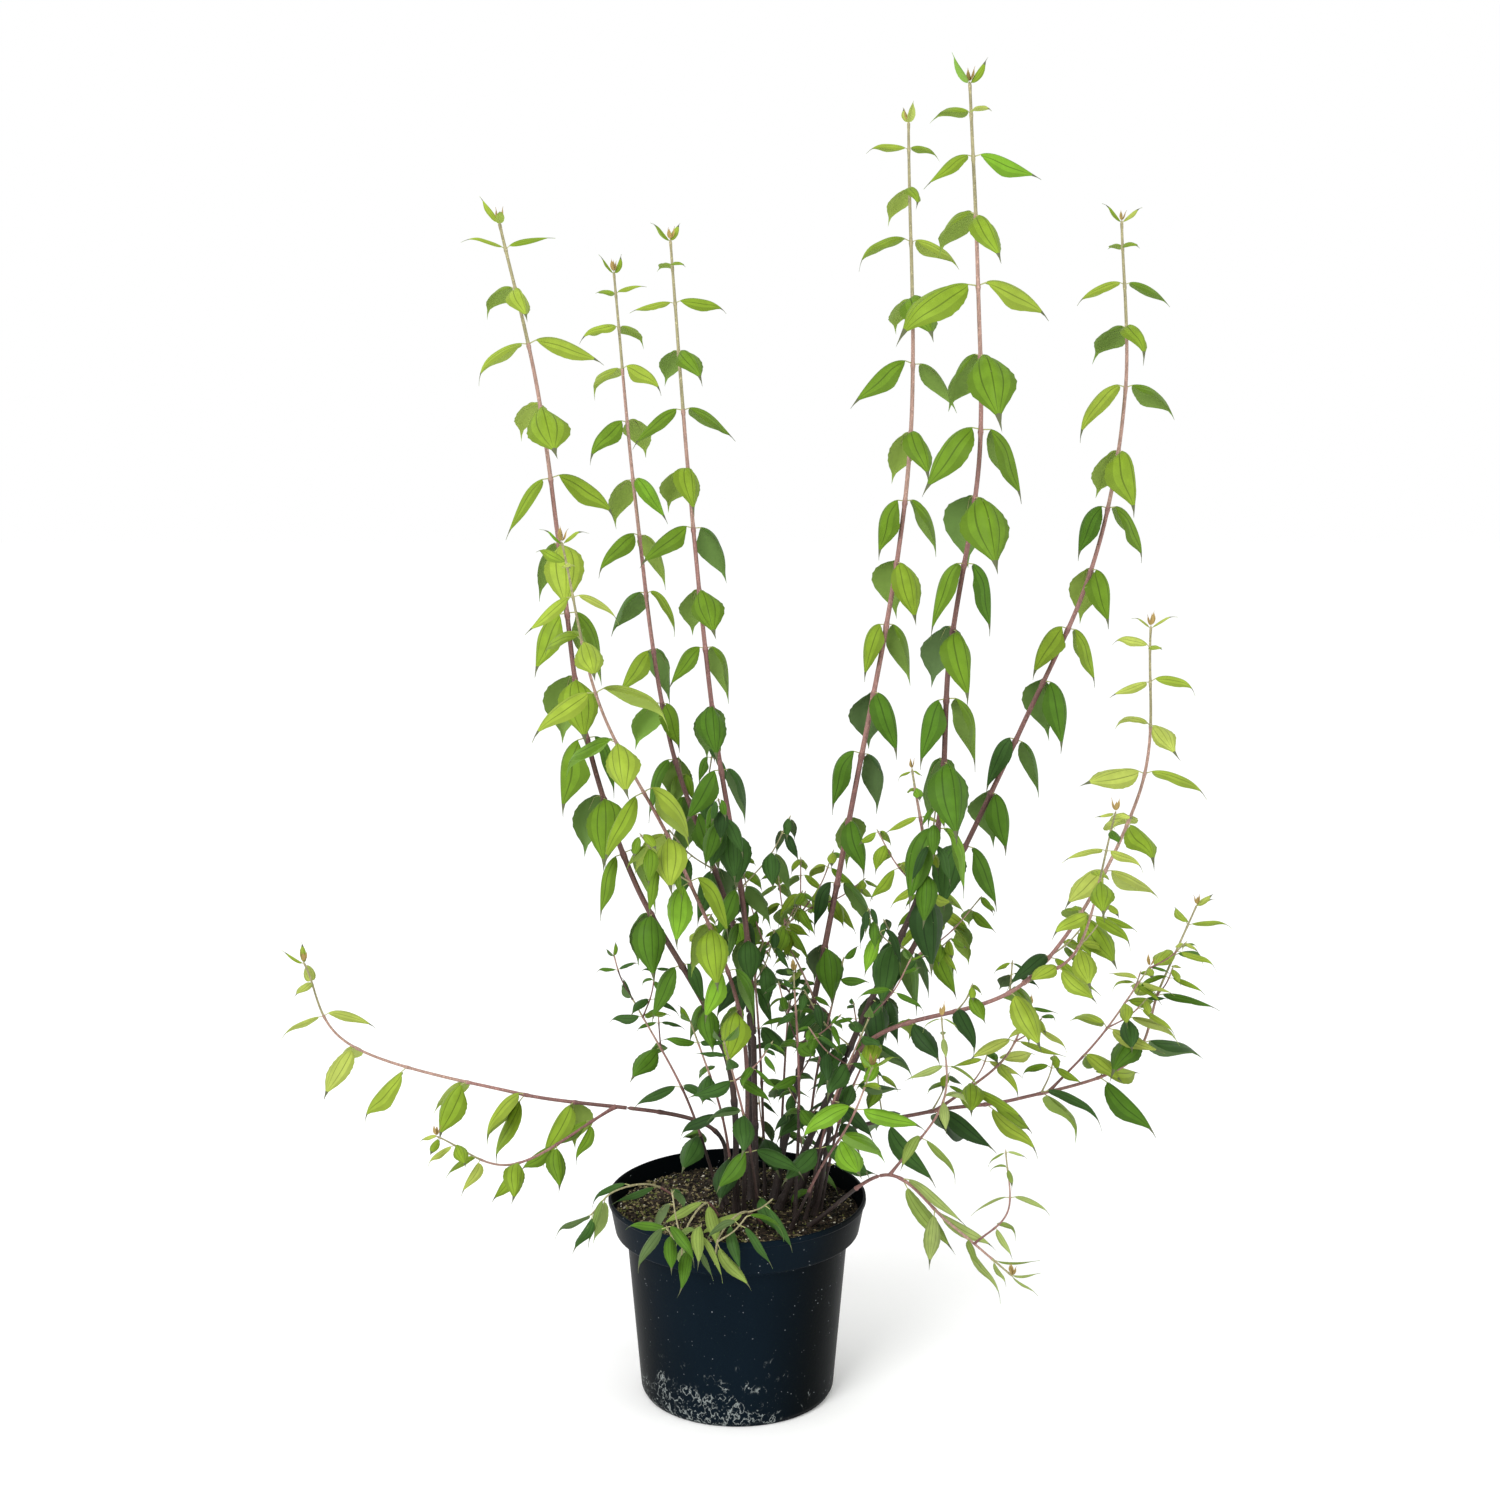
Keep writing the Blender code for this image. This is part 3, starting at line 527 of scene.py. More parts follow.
# %% A plain leaf, for testing what touches
def midrib(leaf, total=MIDRIB_POINTS):
    """Points along a leaf's midrib, and the way it runs at each. It leaves the stem upwards, then arches
    over and hangs."""
    share = np.linspace(0.0, 1.0, total)
    bend = 1.0 - (1.0 - share) ** ARCH_POWER
    pitch = np.radians(leaf.rise + (leaf.fall - leaf.rise) * bend)
    out = np.array([math.cos(leaf.heading), math.sin(leaf.heading), 0.0])
    ways = np.cos(pitch)[:, None] * out + np.sin(pitch)[:, None] * np.array([0.0, 0.0, 1.0])
    steps = 0.5 * (ways[1:] + ways[:-1]) * (leaf.length / (total - 1))
    points = np.array(leaf.root) + np.vstack([np.zeros(3), np.cumsum(steps, axis=0)])
    return share, points, ways


def leaf_frame(leaf, at):
    """The midrib's point there, with the blade's sideways and upward directions."""
    share, points, ways = midrib(leaf)
    point = Vector(read_rows(at, share, points))
    way = Vector(read_rows(at, share, ways)).normalized()
    side = Vector((-math.sin(leaf.heading), math.cos(leaf.heading), 0.0))
    side = Matrix.Rotation(leaf.roll, 3, way) @ side
    return point, side, side.cross(way) * -1.0


# %% The plain leaf's points and faces
def leaf_cage(leaf, grow=0.0, start=0.0):
    """A leaf as a plain closed blade: points and faces. grow fattens it, and start cuts its foot off."""
    widths = [(WIDEST_AT, 1.0), (TAPER_AT, TAPER_WIDTH)]
    if leaf.length < SMALL_LEAF:
        widths = [(SMALL_WIDEST_AT, 1.0)]
    if start:
        widths.insert(0, (start, start / widths[0][0]))
    points = [] if start else [leaf_frame(leaf, 0.0)[0]]
    first = len(points)
    for at, share in widths:
        half = leaf.width / 2 * share + grow
        ridge = max(LEAST_THICKNESS, RIDGE_OF_WIDTH * leaf.width * share) + grow
        point, side, up = leaf_frame(leaf, at)
        points += [point + up * grow, point + side * half - up * ridge, point - side * half - up * ridge]
    faces = [(first, first + 2, first + 1)] if start else [(0, 2, 1), (0, 3, 2), (0, 1, 3)]
    for low in range(first, len(points) - 3, 3):
        faces += [(low + k, low + (k + 1) % 3, low + 3 + (k + 1) % 3, low + 3 + k) for k in range(3)]
    last = len(points) - 3
    points.append(leaf_frame(leaf, 1.0)[0])
    faces += [(last + k, last + (k + 1) % 3, last + 3) for k in range(3)]
    return points, faces


# %% What already stands in the plant
def solid_of(mesh):
    """A mesh's points and faces."""
    return [v.co for v in mesh.vertices], [tuple(p.vertices) for p in mesh.polygons]


class Space:
    """A new leaf or twig is kept only where it touches nothing that is here."""

    def __init__(self):
        self.owners, self.trees, self.lows, self.highs = [], [], [], []

    def add(self, owner, points, faces):
        """Takes a solid's place up."""
        array = np.array([tuple(p) for p in points])
        self.owners.append(owner)
        self.trees.append(BVHTree.FromPolygons([tuple(p) for p in points], faces))
        self.lows.append(array.min(axis=0))
        self.highs.append(array.max(axis=0))

    def add_mesh(self, owner, mesh):
        """Takes up the place of a mesh."""
        self.add(owner, *solid_of(mesh))

    def is_free(self, points, faces, skip=None, only=None):
        """Whether a solid touches nothing here, of all owners but skip, or of owner only."""
        array = np.array([tuple(p) for p in points])
        low, high = array.min(axis=0), array.max(axis=0)
        near = np.all(np.array(self.lows) <= high, axis=1) & np.all(np.array(self.highs) >= low, axis=1)
        tree = None
        for i in np.flatnonzero(near):
            owner = self.owners[i]
            if owner == skip or (only is not None and owner != only):
                continue
            tree = tree or BVHTree.FromPolygons([tuple(p) for p in points], faces)
            if self.trees[i].overlap(tree):
                return False
        return True

    def fits_mesh(self, mesh, skip):
        """Whether a mesh touches nothing but what skip owns."""
        return self.is_free(*solid_of(mesh), skip)


# %% Whether a leaf has room
def leaf_fits(space, mass, leaf):
    """Whether a leaf is clear of other growth, and past its foot also of its own shoot."""
    if not space.is_free(*leaf_cage(leaf, CLEAR), skip=mass):
        return False
    return space.is_free(*leaf_cage(leaf, CLEAR, FOOT_STALK), only=mass)


# %% [markdown]
# ## Pairs of leaves
# Two opposite leaves leave the stem at one node. Each rises a little, then arches over. Young ones at the
# tip reach up and old ones hang. Each leaf could be given its own pose, but one rule with the leaf's age in
# it gives the whole cane its look.


# %% The pairs along a stem
def pair_of_leaves(route, distance, turn, length, width, age, radius, draw):
    """Two opposite leaves. Old ones hang, and those near the tip reach out and up."""
    axis = route.direction(distance)
    across = Vector((0.0, 1.0, 0.0)).cross(axis).normalized()
    front = axis.cross(across).normalized()
    youth = max(0.0, 1.0 - age / YOUNG)
    pair = []
    for side in (0.0, math.pi):
        angle = math.radians(turn) + side + draw.uniform(-TURN_STRAY, TURN_STRAY)
        out = across * math.cos(angle) + front * math.sin(angle)
        lean = math.radians(PAIR_LEAN + draw.uniform(-LEAN_STRAY, LEAN_STRAY) + TIP_LEAN * youth)
        start = (out * math.cos(lean) + axis * math.sin(lean)).normalized()
        flat = Vector((start.x, start.y, 0.0))
        if flat.length < FLATTEST:
            flat += Vector((axis.x, axis.y, 0.0)) * FLAT_ALONG + Vector((out.x, out.y, 0.0)) * FLAT_OUT
        fall = TIP_FALL + (OLD_FALL - TIP_FALL) * min(1.0, age) + draw.uniform(-FALL_STRAY, FALL_STRAY)
        fall += TIP_RISE * youth
        rise = math.degrees(math.asin(max(-STEEPEST_SINE, min(STEEPEST_SINE, start.z))))
        size = length * draw.uniform(*LENGTH_STRAY)
        pair.append(
            Leaf(
                route.at(distance) - out * radius * ROOT_DEPTH,
                math.atan2(flat.y, flat.x),
                rise,
                max(FALL_LIMIT, min(fall, rise + LEAST_ARCH)),
                size,
                size * width * draw.uniform(*WIDTH_STRAY),
                draw.uniform(-ROLL, ROLL),
            )
        )
    return pair


# %% How far apart pairs stand
def foot_share(distance, start, foot_size):
    """How large growth is near a shoot's leafy foot, beside the rest of it."""
    return foot_size + (1.0 - foot_size) * min(1.0, (distance - start) / FOOT_REACH)


def leaf_knots(route, start, rule, draw):
    """The distances at which pairs of leaves stand, from the tip down to start."""
    knots = []
    distance = route.length - TIP_ROOM
    while distance > start + FOOT_ROOM:
        ramp = GAP_RAMP[len(knots)] if len(knots) < len(GAP_RAMP) else 1.0
        knots.append(distance)
        distance -= rule.gap * ramp * foot_share(distance, start, FOOT_SIZE) * draw.uniform(*GAP_STRAY)
    return knots


# %% Keep the leaves that have room
def leaf_pairs(space, mass, stem, draw):
    """A stem's leaves in opposite pairs, each where it fits, with the leaf's age."""
    kept = []
    for number, distance in enumerate(stem.knots):
        share = LEAF_RAMP[number] if number < len(LEAF_RAMP) else 1.0
        age = stem.age + (stem.route.length - distance) / OLD_AFTER
        turn = stem.rule.phase + QUARTER_TURN * number
        radius = limb_radius(stem.route, stem.radius, distance, False)
        length = stem.rule.leaf * share * foot_share(distance, stem.start, stem.rule.foot_size)
        width = stem.rule.width
        for leaf in pair_of_leaves(stem.route, distance, turn, length, width, age, radius, draw):
            for swing in SWINGS:
                tried = leaf._replace(heading=leaf.heading + math.radians(swing))
                if leaf_fits(space, mass, tried):
                    space.add(mass, *leaf_cage(tried))
                    kept.append((tried, age))
                    break
    return kept


# %% Side stems
def twig_stems(space, mass, shoot, route, draw):
    """Short twigs low on a shoot, each turned until it is clear of its neighbours."""
    stems = []
    for number in range(shoot.twigs):
        foot = route.at(shoot.bare + TWIG_FIRST + TWIG_STEP * number + draw.uniform(0.0, TWIG_STRAY))
        turn, length = draw.uniform(0, WHOLE_TURN), draw.uniform(*TWIG_LENGTH)
        phase = draw.uniform(0, QUARTER_TURN)
        for swing in range(0, WHOLE_TURN, TWIG_TURN):
            angle = math.radians(turn + swing)
            out = Vector((math.cos(angle), math.sin(angle), 0.0))
            way = [foot + (out * far + Vector((0, 0, up))) * length for far, up in (TWIG_BEND, TWIG_END)]
            twig = Route([tuple(foot), *(tuple(p) for p in way)])
            rule = Rule(phase, TWIG_GAP, TWIG_LEAF)
            knots = leaf_knots(twig, BARE_FOOT, rule, draw)
            mesh = stretch(mass, twig, TWIG_RADIUS, SUNK, twig.length)
            if space.fits_mesh(mesh, mass):
                stems.append(Stem(twig, TWIG_RADIUS, BARE_FOOT, rule, knots, TWIG_AGE, mesh))
                break
    return stems


# %% All the stems of one mass
def grow_stems(space, name, shoot, seed):
    """A mass's name, its stems (a shoot's own, its forks and its twigs) and the draws for its leaves."""
    draw = random.Random(seed)
    route = Route(shoot.way)
    start = shoot.bare + CLEAR if shoot.bare else 0.0
    rule = Rule(shoot.phase, shoot.gap, shoot.leaf, shoot.width, shoot.foot_size)
    knots = leaf_knots(route, start, rule, draw)
    side = []
    for fork in shoot.forks:
        branch = Route([tuple(route.at(fork.at)), *fork.way])
        radius = FORK_SHARE * limb_radius(route, shoot.foot_radius, fork.at, False)
        fork_rule = Rule(fork.phase, fork.gap, fork.leaf, shoot.width)
        fork_knots = leaf_knots(branch, BARE_FOOT, fork_rule, draw)
        mesh = stretch(name, branch, radius, SUNK, branch.length)
        side.append(Stem(branch, radius, BARE_FOOT, fork_rule, fork_knots, FORK_AGE, mesh))
    side += twig_stems(space, name, shoot, route, draw)
    mesh = stretch(name, route, shoot.foot_radius, start, route.length)
    stems = [Stem(route, shoot.foot_radius, start, rule, knots, 0.0, mesh), *side]
    for stem in stems:
        space.add_mesh(name, stem.mesh)
    return name, stems, draw


# %% Tufts, each a golden angle on from the last
def tuft_way(angle, ring, length, lean):
    """A tuft's line: from its foot on the ring it leans out, and more so in its upper half."""
    out = Vector((math.cos(angle), math.sin(angle), 0.0))
    foot = CROWN + out * ring
    over = lean + math.radians(TUFT_ARCH)
    half, up = length / 2, Vector((0, 0, 1))
    middle = foot + out * half * math.sin(lean) + up * (COMPOST_TOP + half * math.cos(lean))
    tip = middle + out * half * math.sin(over) + up * half * math.cos(over)
    return (foot.x, foot.y), tuple(middle), tuple(tip)


def tuft_row(space, number):
    """A tuft round the crown, turned on from its place until its stem is clear of the others."""
    draw = random.Random(TUFT_SEED + number)
    ring, length = draw.uniform(*TUFT_RING), draw.uniform(*TUFT_LENGTH)
    lean, phase = math.radians(draw.uniform(*TUFT_LEAN)), draw.uniform(0, QUARTER_TURN)
    for swing in TUFT_SWINGS:
        angle = math.radians(TUFT_FIRST_TURN + number * GOLDEN_ANGLE + swing)
        way = tuft_way(angle, ring, length, lean)
        route = Route(way)
        mesh = stretch("tuft", route, TUFT_FOOT_RADIUS + 2 * CLEAR, 0.0, route.length)
        if space.fits_mesh(mesh, "compost"):
            break
    return Shoot("tuft", way, 0.0, TUFT_FOOT_RADIUS, phase, TUFT_GAP, TUFT_LEAF)


# %% Grow the whole plant
space = Space()
for name in ("pot", "compost"):
    space.add_mesh(name, nodes[name].data)
for shoot in SHOOTS:
    space.add_mesh(f"cane_{shoot.name}", nodes[f"cane_{shoot.name}"].data)
rows = [(f"shoot_{row.name}", row) for row in SHOOTS] + [(f"spray_{row.name}", row) for row in SPRAYS]
masses = [grow_stems(space, name, row, FIRST_SEED + i) for i, (name, row) in enumerate(rows)]
for i, name in enumerate(TUFT_MASSES):
    masses.append(grow_stems(space, name, tuft_row(space, i), FIRST_SEED + len(rows) + i))
grown = {}
for name, stems, draw in masses:
    grown[name] = stems, [leaf for stem in stems for leaf in leaf_pairs(space, name, stem, draw)]
print(f"{sum(len(leaves) for stems, leaves in grown.values())} leaves on {len(grown)} shoots")

# %% [markdown]
# ## Finer twigs
# Low on the canes small twigs stand in the leaf axils. They are short and close round the crown, and longer,
# with larger leaves, above it. They could be strewn at random, but real ones stand only in axils, so they
# are grown there by the same rule, and kept where they touch nothing. Each kind has the height it reaches up
# to, its share of the axils, its length, and its leaves' size, gap and width.

# %% Kinds of axil twig
Axil = namedtuple("Axil", "top share length leaf gap width")
CROWN_AXIL = Axil(0.43, 0.26, (0.035, 0.070), 0.060, 0.040, 0.36)
CANE_AXIL = Axil(0.50, 0.42, (0.050, 0.090), 0.078, 0.046, 0.42)
LOW_AXIL = Axil(0.60, 0.22, (0.030, 0.055), 0.076, 0.036, 0.42)
SPRAY_AXIL = Axil(0.30, 0.70, (0.030, 0.060), 0.092, 0.034, NARROW_LEAF)
AXIL_RISE = (25.0, 65.0)
AXIL_TURN = 0.6
AXIL_BENDS = (0.0, 0.25)
AXIL_RADIUS = 0.0006
AXIL_FOOT = 0.010
AXIL_SEED = 500
CROWN_MASSES = ("shoot_centre", *TUFT_MASSES)
CANE_MASSES = ("shoot_left_middle", "shoot_left_inner", "shoot_left_light", "shoot_right_tall",
               "shoot_right_outer")
AXILS = dict.fromkeys(CROWN_MASSES, CROWN_AXIL) | dict.fromkeys(CANE_MASSES, CANE_AXIL)
AXILS |= dict.fromkeys(("shoot_far_right", "shoot_right_grey"), LOW_AXIL)
AXILS |= dict.fromkeys(("spray_front_left", "spray_front_middle"), SPRAY_AXIL)


# %% Grow the axil twigs
def axil_twig(leaf, axil, draw):
    """A small twig from where a leaf stands, rising past it."""
    heading = leaf.heading + draw.uniform(-AXIL_TURN, AXIL_TURN)
    length, rise = draw.uniform(*axil.length), math.radians(draw.uniform(*AXIL_RISE))
    points = [leaf.root]
    for bend in AXIL_BENDS:
        out = math.cos(rise + bend)
        way = Vector((math.cos(heading) * out, math.sin(heading) * out, math.sin(rise + bend)))
        points.append(points[-1] + way * length / 2)
    return Route([tuple(p) for p in points])


def add_axil_twigs(mass, axil, draw):
    """Grows small twigs in a mass's lower axils, and returns how many."""
    stems, leaves = grown[mass]
    added = 0
    for leaf, age in list(leaves):
        chance = draw.random()
        twig = axil_twig(leaf, axil, draw)
        rule = Rule(draw.uniform(0, QUARTER_TURN), axil.gap, axil.leaf, axil.width)
        if chance > axil.share or leaf.root[2] > axil.top:
            continue
        mesh = stretch(mass, twig, AXIL_RADIUS, SUNK, twig.length)
        if space.fits_mesh(mesh, mass):
            knots = leaf_knots(twig, AXIL_FOOT, rule, draw)
            stem = Stem(twig, AXIL_RADIUS, AXIL_FOOT, rule, knots, age, mesh)
            stems.append(stem)
            space.add_mesh(mass, mesh)
            leaves += leaf_pairs(space, mass, stem, draw)
            added += 1
    return added


twigs = 0
for i, name in enumerate(grown):
    if name in AXILS:
        twigs += add_axil_twigs(name, AXILS[name], random.Random(AXIL_SEED + i))
print(f"{twigs} axil twigs, {sum(len(leaves) for stems, leaves in grown.values())} leaves in all")

# %% [markdown]
# ### Slender leaves on the sprays
# The leaves of the three sprays are slender. Some lie out over the compost, some hang over the rim, and
# some have fallen. They could be grown again with a narrower leaf, but it is quicker to draw each one out,
# as long as it can be without touching the pot or another shoot.

# %% How the sprays' leaves are drawn out
SPRAY_MASSES = tuple(f"spray_{row.name}" for row in SPRAYS)
SPRAY_LENGTHS = (0.048, 0.042, 0.036)
SPRAY_WIDTH = 0.24
SPRAY_FALL = (-85.0, 5.0)
SPRAY_KEPT = 0.60
SPRAY_SEED = 900


# %% Draw a leaf out
def drawn_out(mass, leaf, draw):
    """A spray's leaf, slender and arching, as long as there is room for."""
    fall = draw.uniform(*SPRAY_FALL)
    for length in SPRAY_LENGTHS:
        tried = leaf._replace(length=length, width=length * SPRAY_WIDTH, fall=fall)
        if space.is_free(*leaf_cage(tried, CLEAR), skip=mass):
            return tried
    return leaf._replace(width=leaf.length * SPRAY_WIDTH)


# %% Draw out the sprays' leaves
draw = random.Random(SPRAY_SEED)
for mass in SPRAY_MASSES:
    stems, leaves = grown[mass]
    kept = [(drawn_out(mass, leaf, draw), age) for leaf, age in leaves if draw.random() < SPRAY_KEPT]
    grown[mass] = stems, kept
    print(f"{mass}: {len(kept)} of {len(leaves)} leaves")

# %% [markdown]
# ## Leaf greens
# Young leaves are yellow-green and old ones deep green. The slender leaves near the pot are olive, and here
# and there a leaf is a vivid green. A pattern laid over so many leaves at once would only blur, so each leaf
# takes one of a few greens. Fine mottling and a soft sheen are the same on all of them.
# The sunken veins carry painted shade, the margin is darker and the underside is paler.

# %% The greens
GREENS = (
    (0.385, 0.460, 0.085),
    (0.290, 0.395, 0.040),
    (0.205, 0.315, 0.022),
    (0.128, 0.236, 0.014),
    (0.072, 0.170, 0.012),
    (0.044, 0.112, 0.020),
    (0.025, 0.066, 0.014),
)
OLIVES = (
    (0.300, 0.380, 0.110),
    (0.215, 0.300, 0.060),
    (0.150, 0.225, 0.050),
    (0.090, 0.145, 0.045),
)
VIVID = (0.170, 0.350, 0.022)
LEAF_GREENS = (*GREENS, *OLIVES, VIVID)
PALE_GREEN = (0.40, 0.48, 0.26)
TIP_GREY = (0.110, 0.125, 0.060)
BUD_TAN = (0.400, 0.280, 0.100)
STALK_PALE = (0.400, 0.420, 0.170)
LEAF_GLOSS = 0.12
BLOTCH_SIZE = 0.012
BLOTCH_EDGE = (0.35, 0.70)
SHEEN_GRAIN = 0.004
SHEEN_STRAY = 0.12
BLISTER_SIZE = 0.005
BLISTER_DEPTH = 0.00006


# %% A leaf's surface
def lighter(colour, share):
    """A colour moved by a share towards a pale grey-green."""
    return tuple(a + (b - a) * share for a, b in zip(colour, PALE_GREEN))


def leaf_look(name, colour, roughness, mottle):
    """A leaf's surface: one green with soft mottling and a fine grain."""
    look = Look(name, colour, roughness, Specular_IOR_Level=LEAF_GLOSS)
    blotch = look.step(look.grain(BLOTCH_SIZE, 3.0), *BLOTCH_EDGE)
    look.set("Base Color", look.mix(blotch, deeper(colour, 1 - mottle), colour))
    look.set("Roughness", roughness + SHEEN_STRAY * look.grain(SHEEN_GRAIN))
    look.bump(look.grain(BLISTER_SIZE, 1.0), BLISTER_DEPTH)
    return look.material


# %% [markdown]
# ### Four kinds of face in each green
# Top, veins, underside and margin: each kind has how its green is changed and by how much, its
# roughness and its mottling. The veins' darker green is painted shade in their grooves. The tips,
# buds and stalks have one colour each, which all leaves share.

# %% Every leaf material
KINDS = {
    "green": (deeper, 1.0, 0.50, 0.16),
    # Painted shade: the sunken veins take a darker copy of each green.
    "vein": (deeper, 0.52, 0.50, 0.06),
    "underside": (lighter, 0.16, 0.62, 0.08),
    "margin": (deeper, 0.74, 0.50, 0.10),
}
SHARED = (("drip tip", TIP_GREY, 0.1), ("bud", BUD_TAN, 0.2), ("leaf stalk", STALK_PALE, 0.1))
SHARED_ROUGHNESS = 0.6
leaf_looks = [
    leaf_look(f"leaf {kind} {i + 1}", change(green, share), roughness, mottle)
    for kind, (change, share, roughness, mottle) in KINDS.items()
    for i, green in enumerate(LEAF_GREENS)
]
leaf_looks += [leaf_look(name, colour, SHARED_ROUGHNESS, mottle) for name, colour, mottle in SHARED]
# Where each kind's materials start; the veins' kind is painted shade.
VEIN_SHADE, UNDER, MARGIN, TIP_LOOK = (k * len(LEAF_GREENS) for k in (1, 2, 3, 4))
BUD_LOOK, STALK_LOOK = TIP_LOOK + 1, TIP_LOOK + 2
print(f"{len(leaf_looks)} leaf materials")

# %% [markdown]
# ## One fine leaf
# The real blade is egg-shaped with a rounded base and a long drip tip. Three sunken veins run along it, the
# blade bulges between them, and the edge has shallow teeth. A flat card with a picture of a leaf is lighter,
# but it has no form from the side. So the blade is a sheet of points: stations along the midrib and columns
# across, each column with its own height. A second sheet just below is the underside.

# %% The blade's form
STATIONS = 18
SMALL_STATIONS = 11
CROWDING = 1.4
COLUMNS = np.array([-1.0, -0.74, -0.47, -0.41, -0.21, -0.03, 0.03, 0.21, 0.41, 0.47, 0.74, 1.0])
QUILTED = np.array([0.0, 0.9, 0.0, 0.0, 1.0, -0.2, -0.2, 1.0, 0.0, 0.0, 0.9, 0.0])
VEINS = (2, 5, 8)
MARGINS = (0, 10)
TIP_STATIONS = 2
UNDER_COLUMNS = np.array([-1.0, -0.47, -0.03, 0.47, 1.0])
SMALLEST_FULL = 0.027
FINE_MIDRIB = 25
QUILT_HEIGHT = 0.07
WIDEST = 0.39
BELLY = 0.60
BODY_END = 0.84
TAIL_WIDTH = 0.40
STALK = 0.12
TOOTH = 0.022
THICKNESS = 0.00032
TWIST = 0.45
CURL = (-0.2, 1.9)
CURL_FROM = 0.60
SICKLE = 0.09
FOLD = (0.50, 0.95)
FOLD_POWER = 1.25
WAVE = (0.0, 0.10)
WAVE_RATE = 9.0
RADIANS_ROUND = 6.28
STALK_RADIUS = 0.00058
STALK_OF_LENGTH = 0.07
STALK_POWER = 0.6
STALK_SHARES = np.array([0.0, 0.05, STALK, 0.22, 0.45])
STALK_TAPER = np.array([1.25, 0.9, 0.85, 0.55, 0.2])
STALK_SINK = np.array([0.0, 0.0, 0.5, 0.9, 1.0])
STALK_SIDES = 5


# %% The blade's outline and midrib
def outline(place):
    """The blade's half width at places from its base (0) to its tip (1), and 1 at its widest. The base is
    round, and a full body ends in a narrow tail."""
    base = np.sqrt(1 - (1 - np.minimum(place, WIDEST) / WIDEST) ** 2)
    beyond = (np.maximum(place, WIDEST) - WIDEST) / (1 - WIDEST)
    body = (0.5 + 0.5 * np.cos(math.pi * np.minimum(1.0, beyond / BODY_END))) ** BELLY
    return base * np.maximum(body, TAIL_WIDTH * (1 - beyond))


def line_of(leaf, shares, sickle, twist=0.0, curl=0.0):
    """Points, ways, sides and ups along a leaf's midrib. sickle bends it sideways, and curl its tip down."""
    share, points, ways = midrib(leaf, FINE_MIDRIB)
    at = read_rows(shares, share, points)
    way = read_rows(shares, share, ways)
    way /= np.linalg.norm(way, axis=1)[:, None]
    flat = np.array([-math.sin(leaf.heading), math.cos(leaf.heading), 0.0])
    up = np.cross(way, flat)
    roll = (leaf.roll + twist * shares)[:, None]
    side = flat * np.cos(roll) + up * np.sin(roll)
    up = np.cross(way, side)
    at = at + side * (sickle * leaf.length * shares**2)[:, None]
    at = at - up * (curl * leaf.length * np.maximum(0.0, shares - CURL_FROM) ** 2)[:, None]
    return at, way, side, up


def grid_faces(rows, columns, first, flip=False):
    """Quads of a grid of points."""
    a = np.arange(rows - 1)[:, None] * columns + np.arange(columns - 1)[None, :] + first
    quads = np.stack([a, a + columns, a + columns + 1, a + 1], axis=-1).reshape(-1, 4)
    return quads[:, ::-1] if flip else quads


# %% Pieces that are gathered point by point
class Heap:
    """Points and faces for one piece, with a material for each face."""

    def __init__(self):
        self.points, self.faces, self.looks, self.total = [], [], [], 0

    def add(self, points, faces, looks):
        """Adds a stretch of surface. looks is one material number, or one for each face."""
        self.points.append(np.asarray(points, float))
        self.faces.append(np.asarray(faces) + self.total)
        self.looks.append(np.broadcast_to(looks, len(faces)))
        self.total += len(points)

    def piece(self, name, materials, slot, replaced, sharp=None):
        """The finished piece, riding with the plant and standing for its solids."""
        points, faces = np.vstack(self.points), np.vstack(self.faces)
        mesh = bpy.data.meshes.new(name)
        mesh.vertices.add(len(points))
        mesh.vertices.foreach_set("co", points.astype(np.float32).ravel())
        mesh.loops.add(faces.size)
        mesh.loops.foreach_set("vertex_index", faces.astype(np.int32).ravel())
        mesh.polygons.add(len(faces))
        mesh.polygons.foreach_set("loop_start", np.arange(0, faces.size, faces.shape[1], dtype=np.int32))
        for material in materials:
            mesh.materials.append(material)
        mesh.polygons.foreach_set("material_index", np.concatenate(self.looks).astype(np.int32))
        mesh.update()
        mesh.validate()
        mesh.shade_smooth()
        if sharp:
            mesh.set_sharp_from_angle(angle=math.radians(sharp))
        made = stood(name, mesh)
        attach(made, "root")
        if replaced:
            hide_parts(*replaced)
        print(f"{name}: {len(faces) * (faces.shape[1] - 2)} triangles")


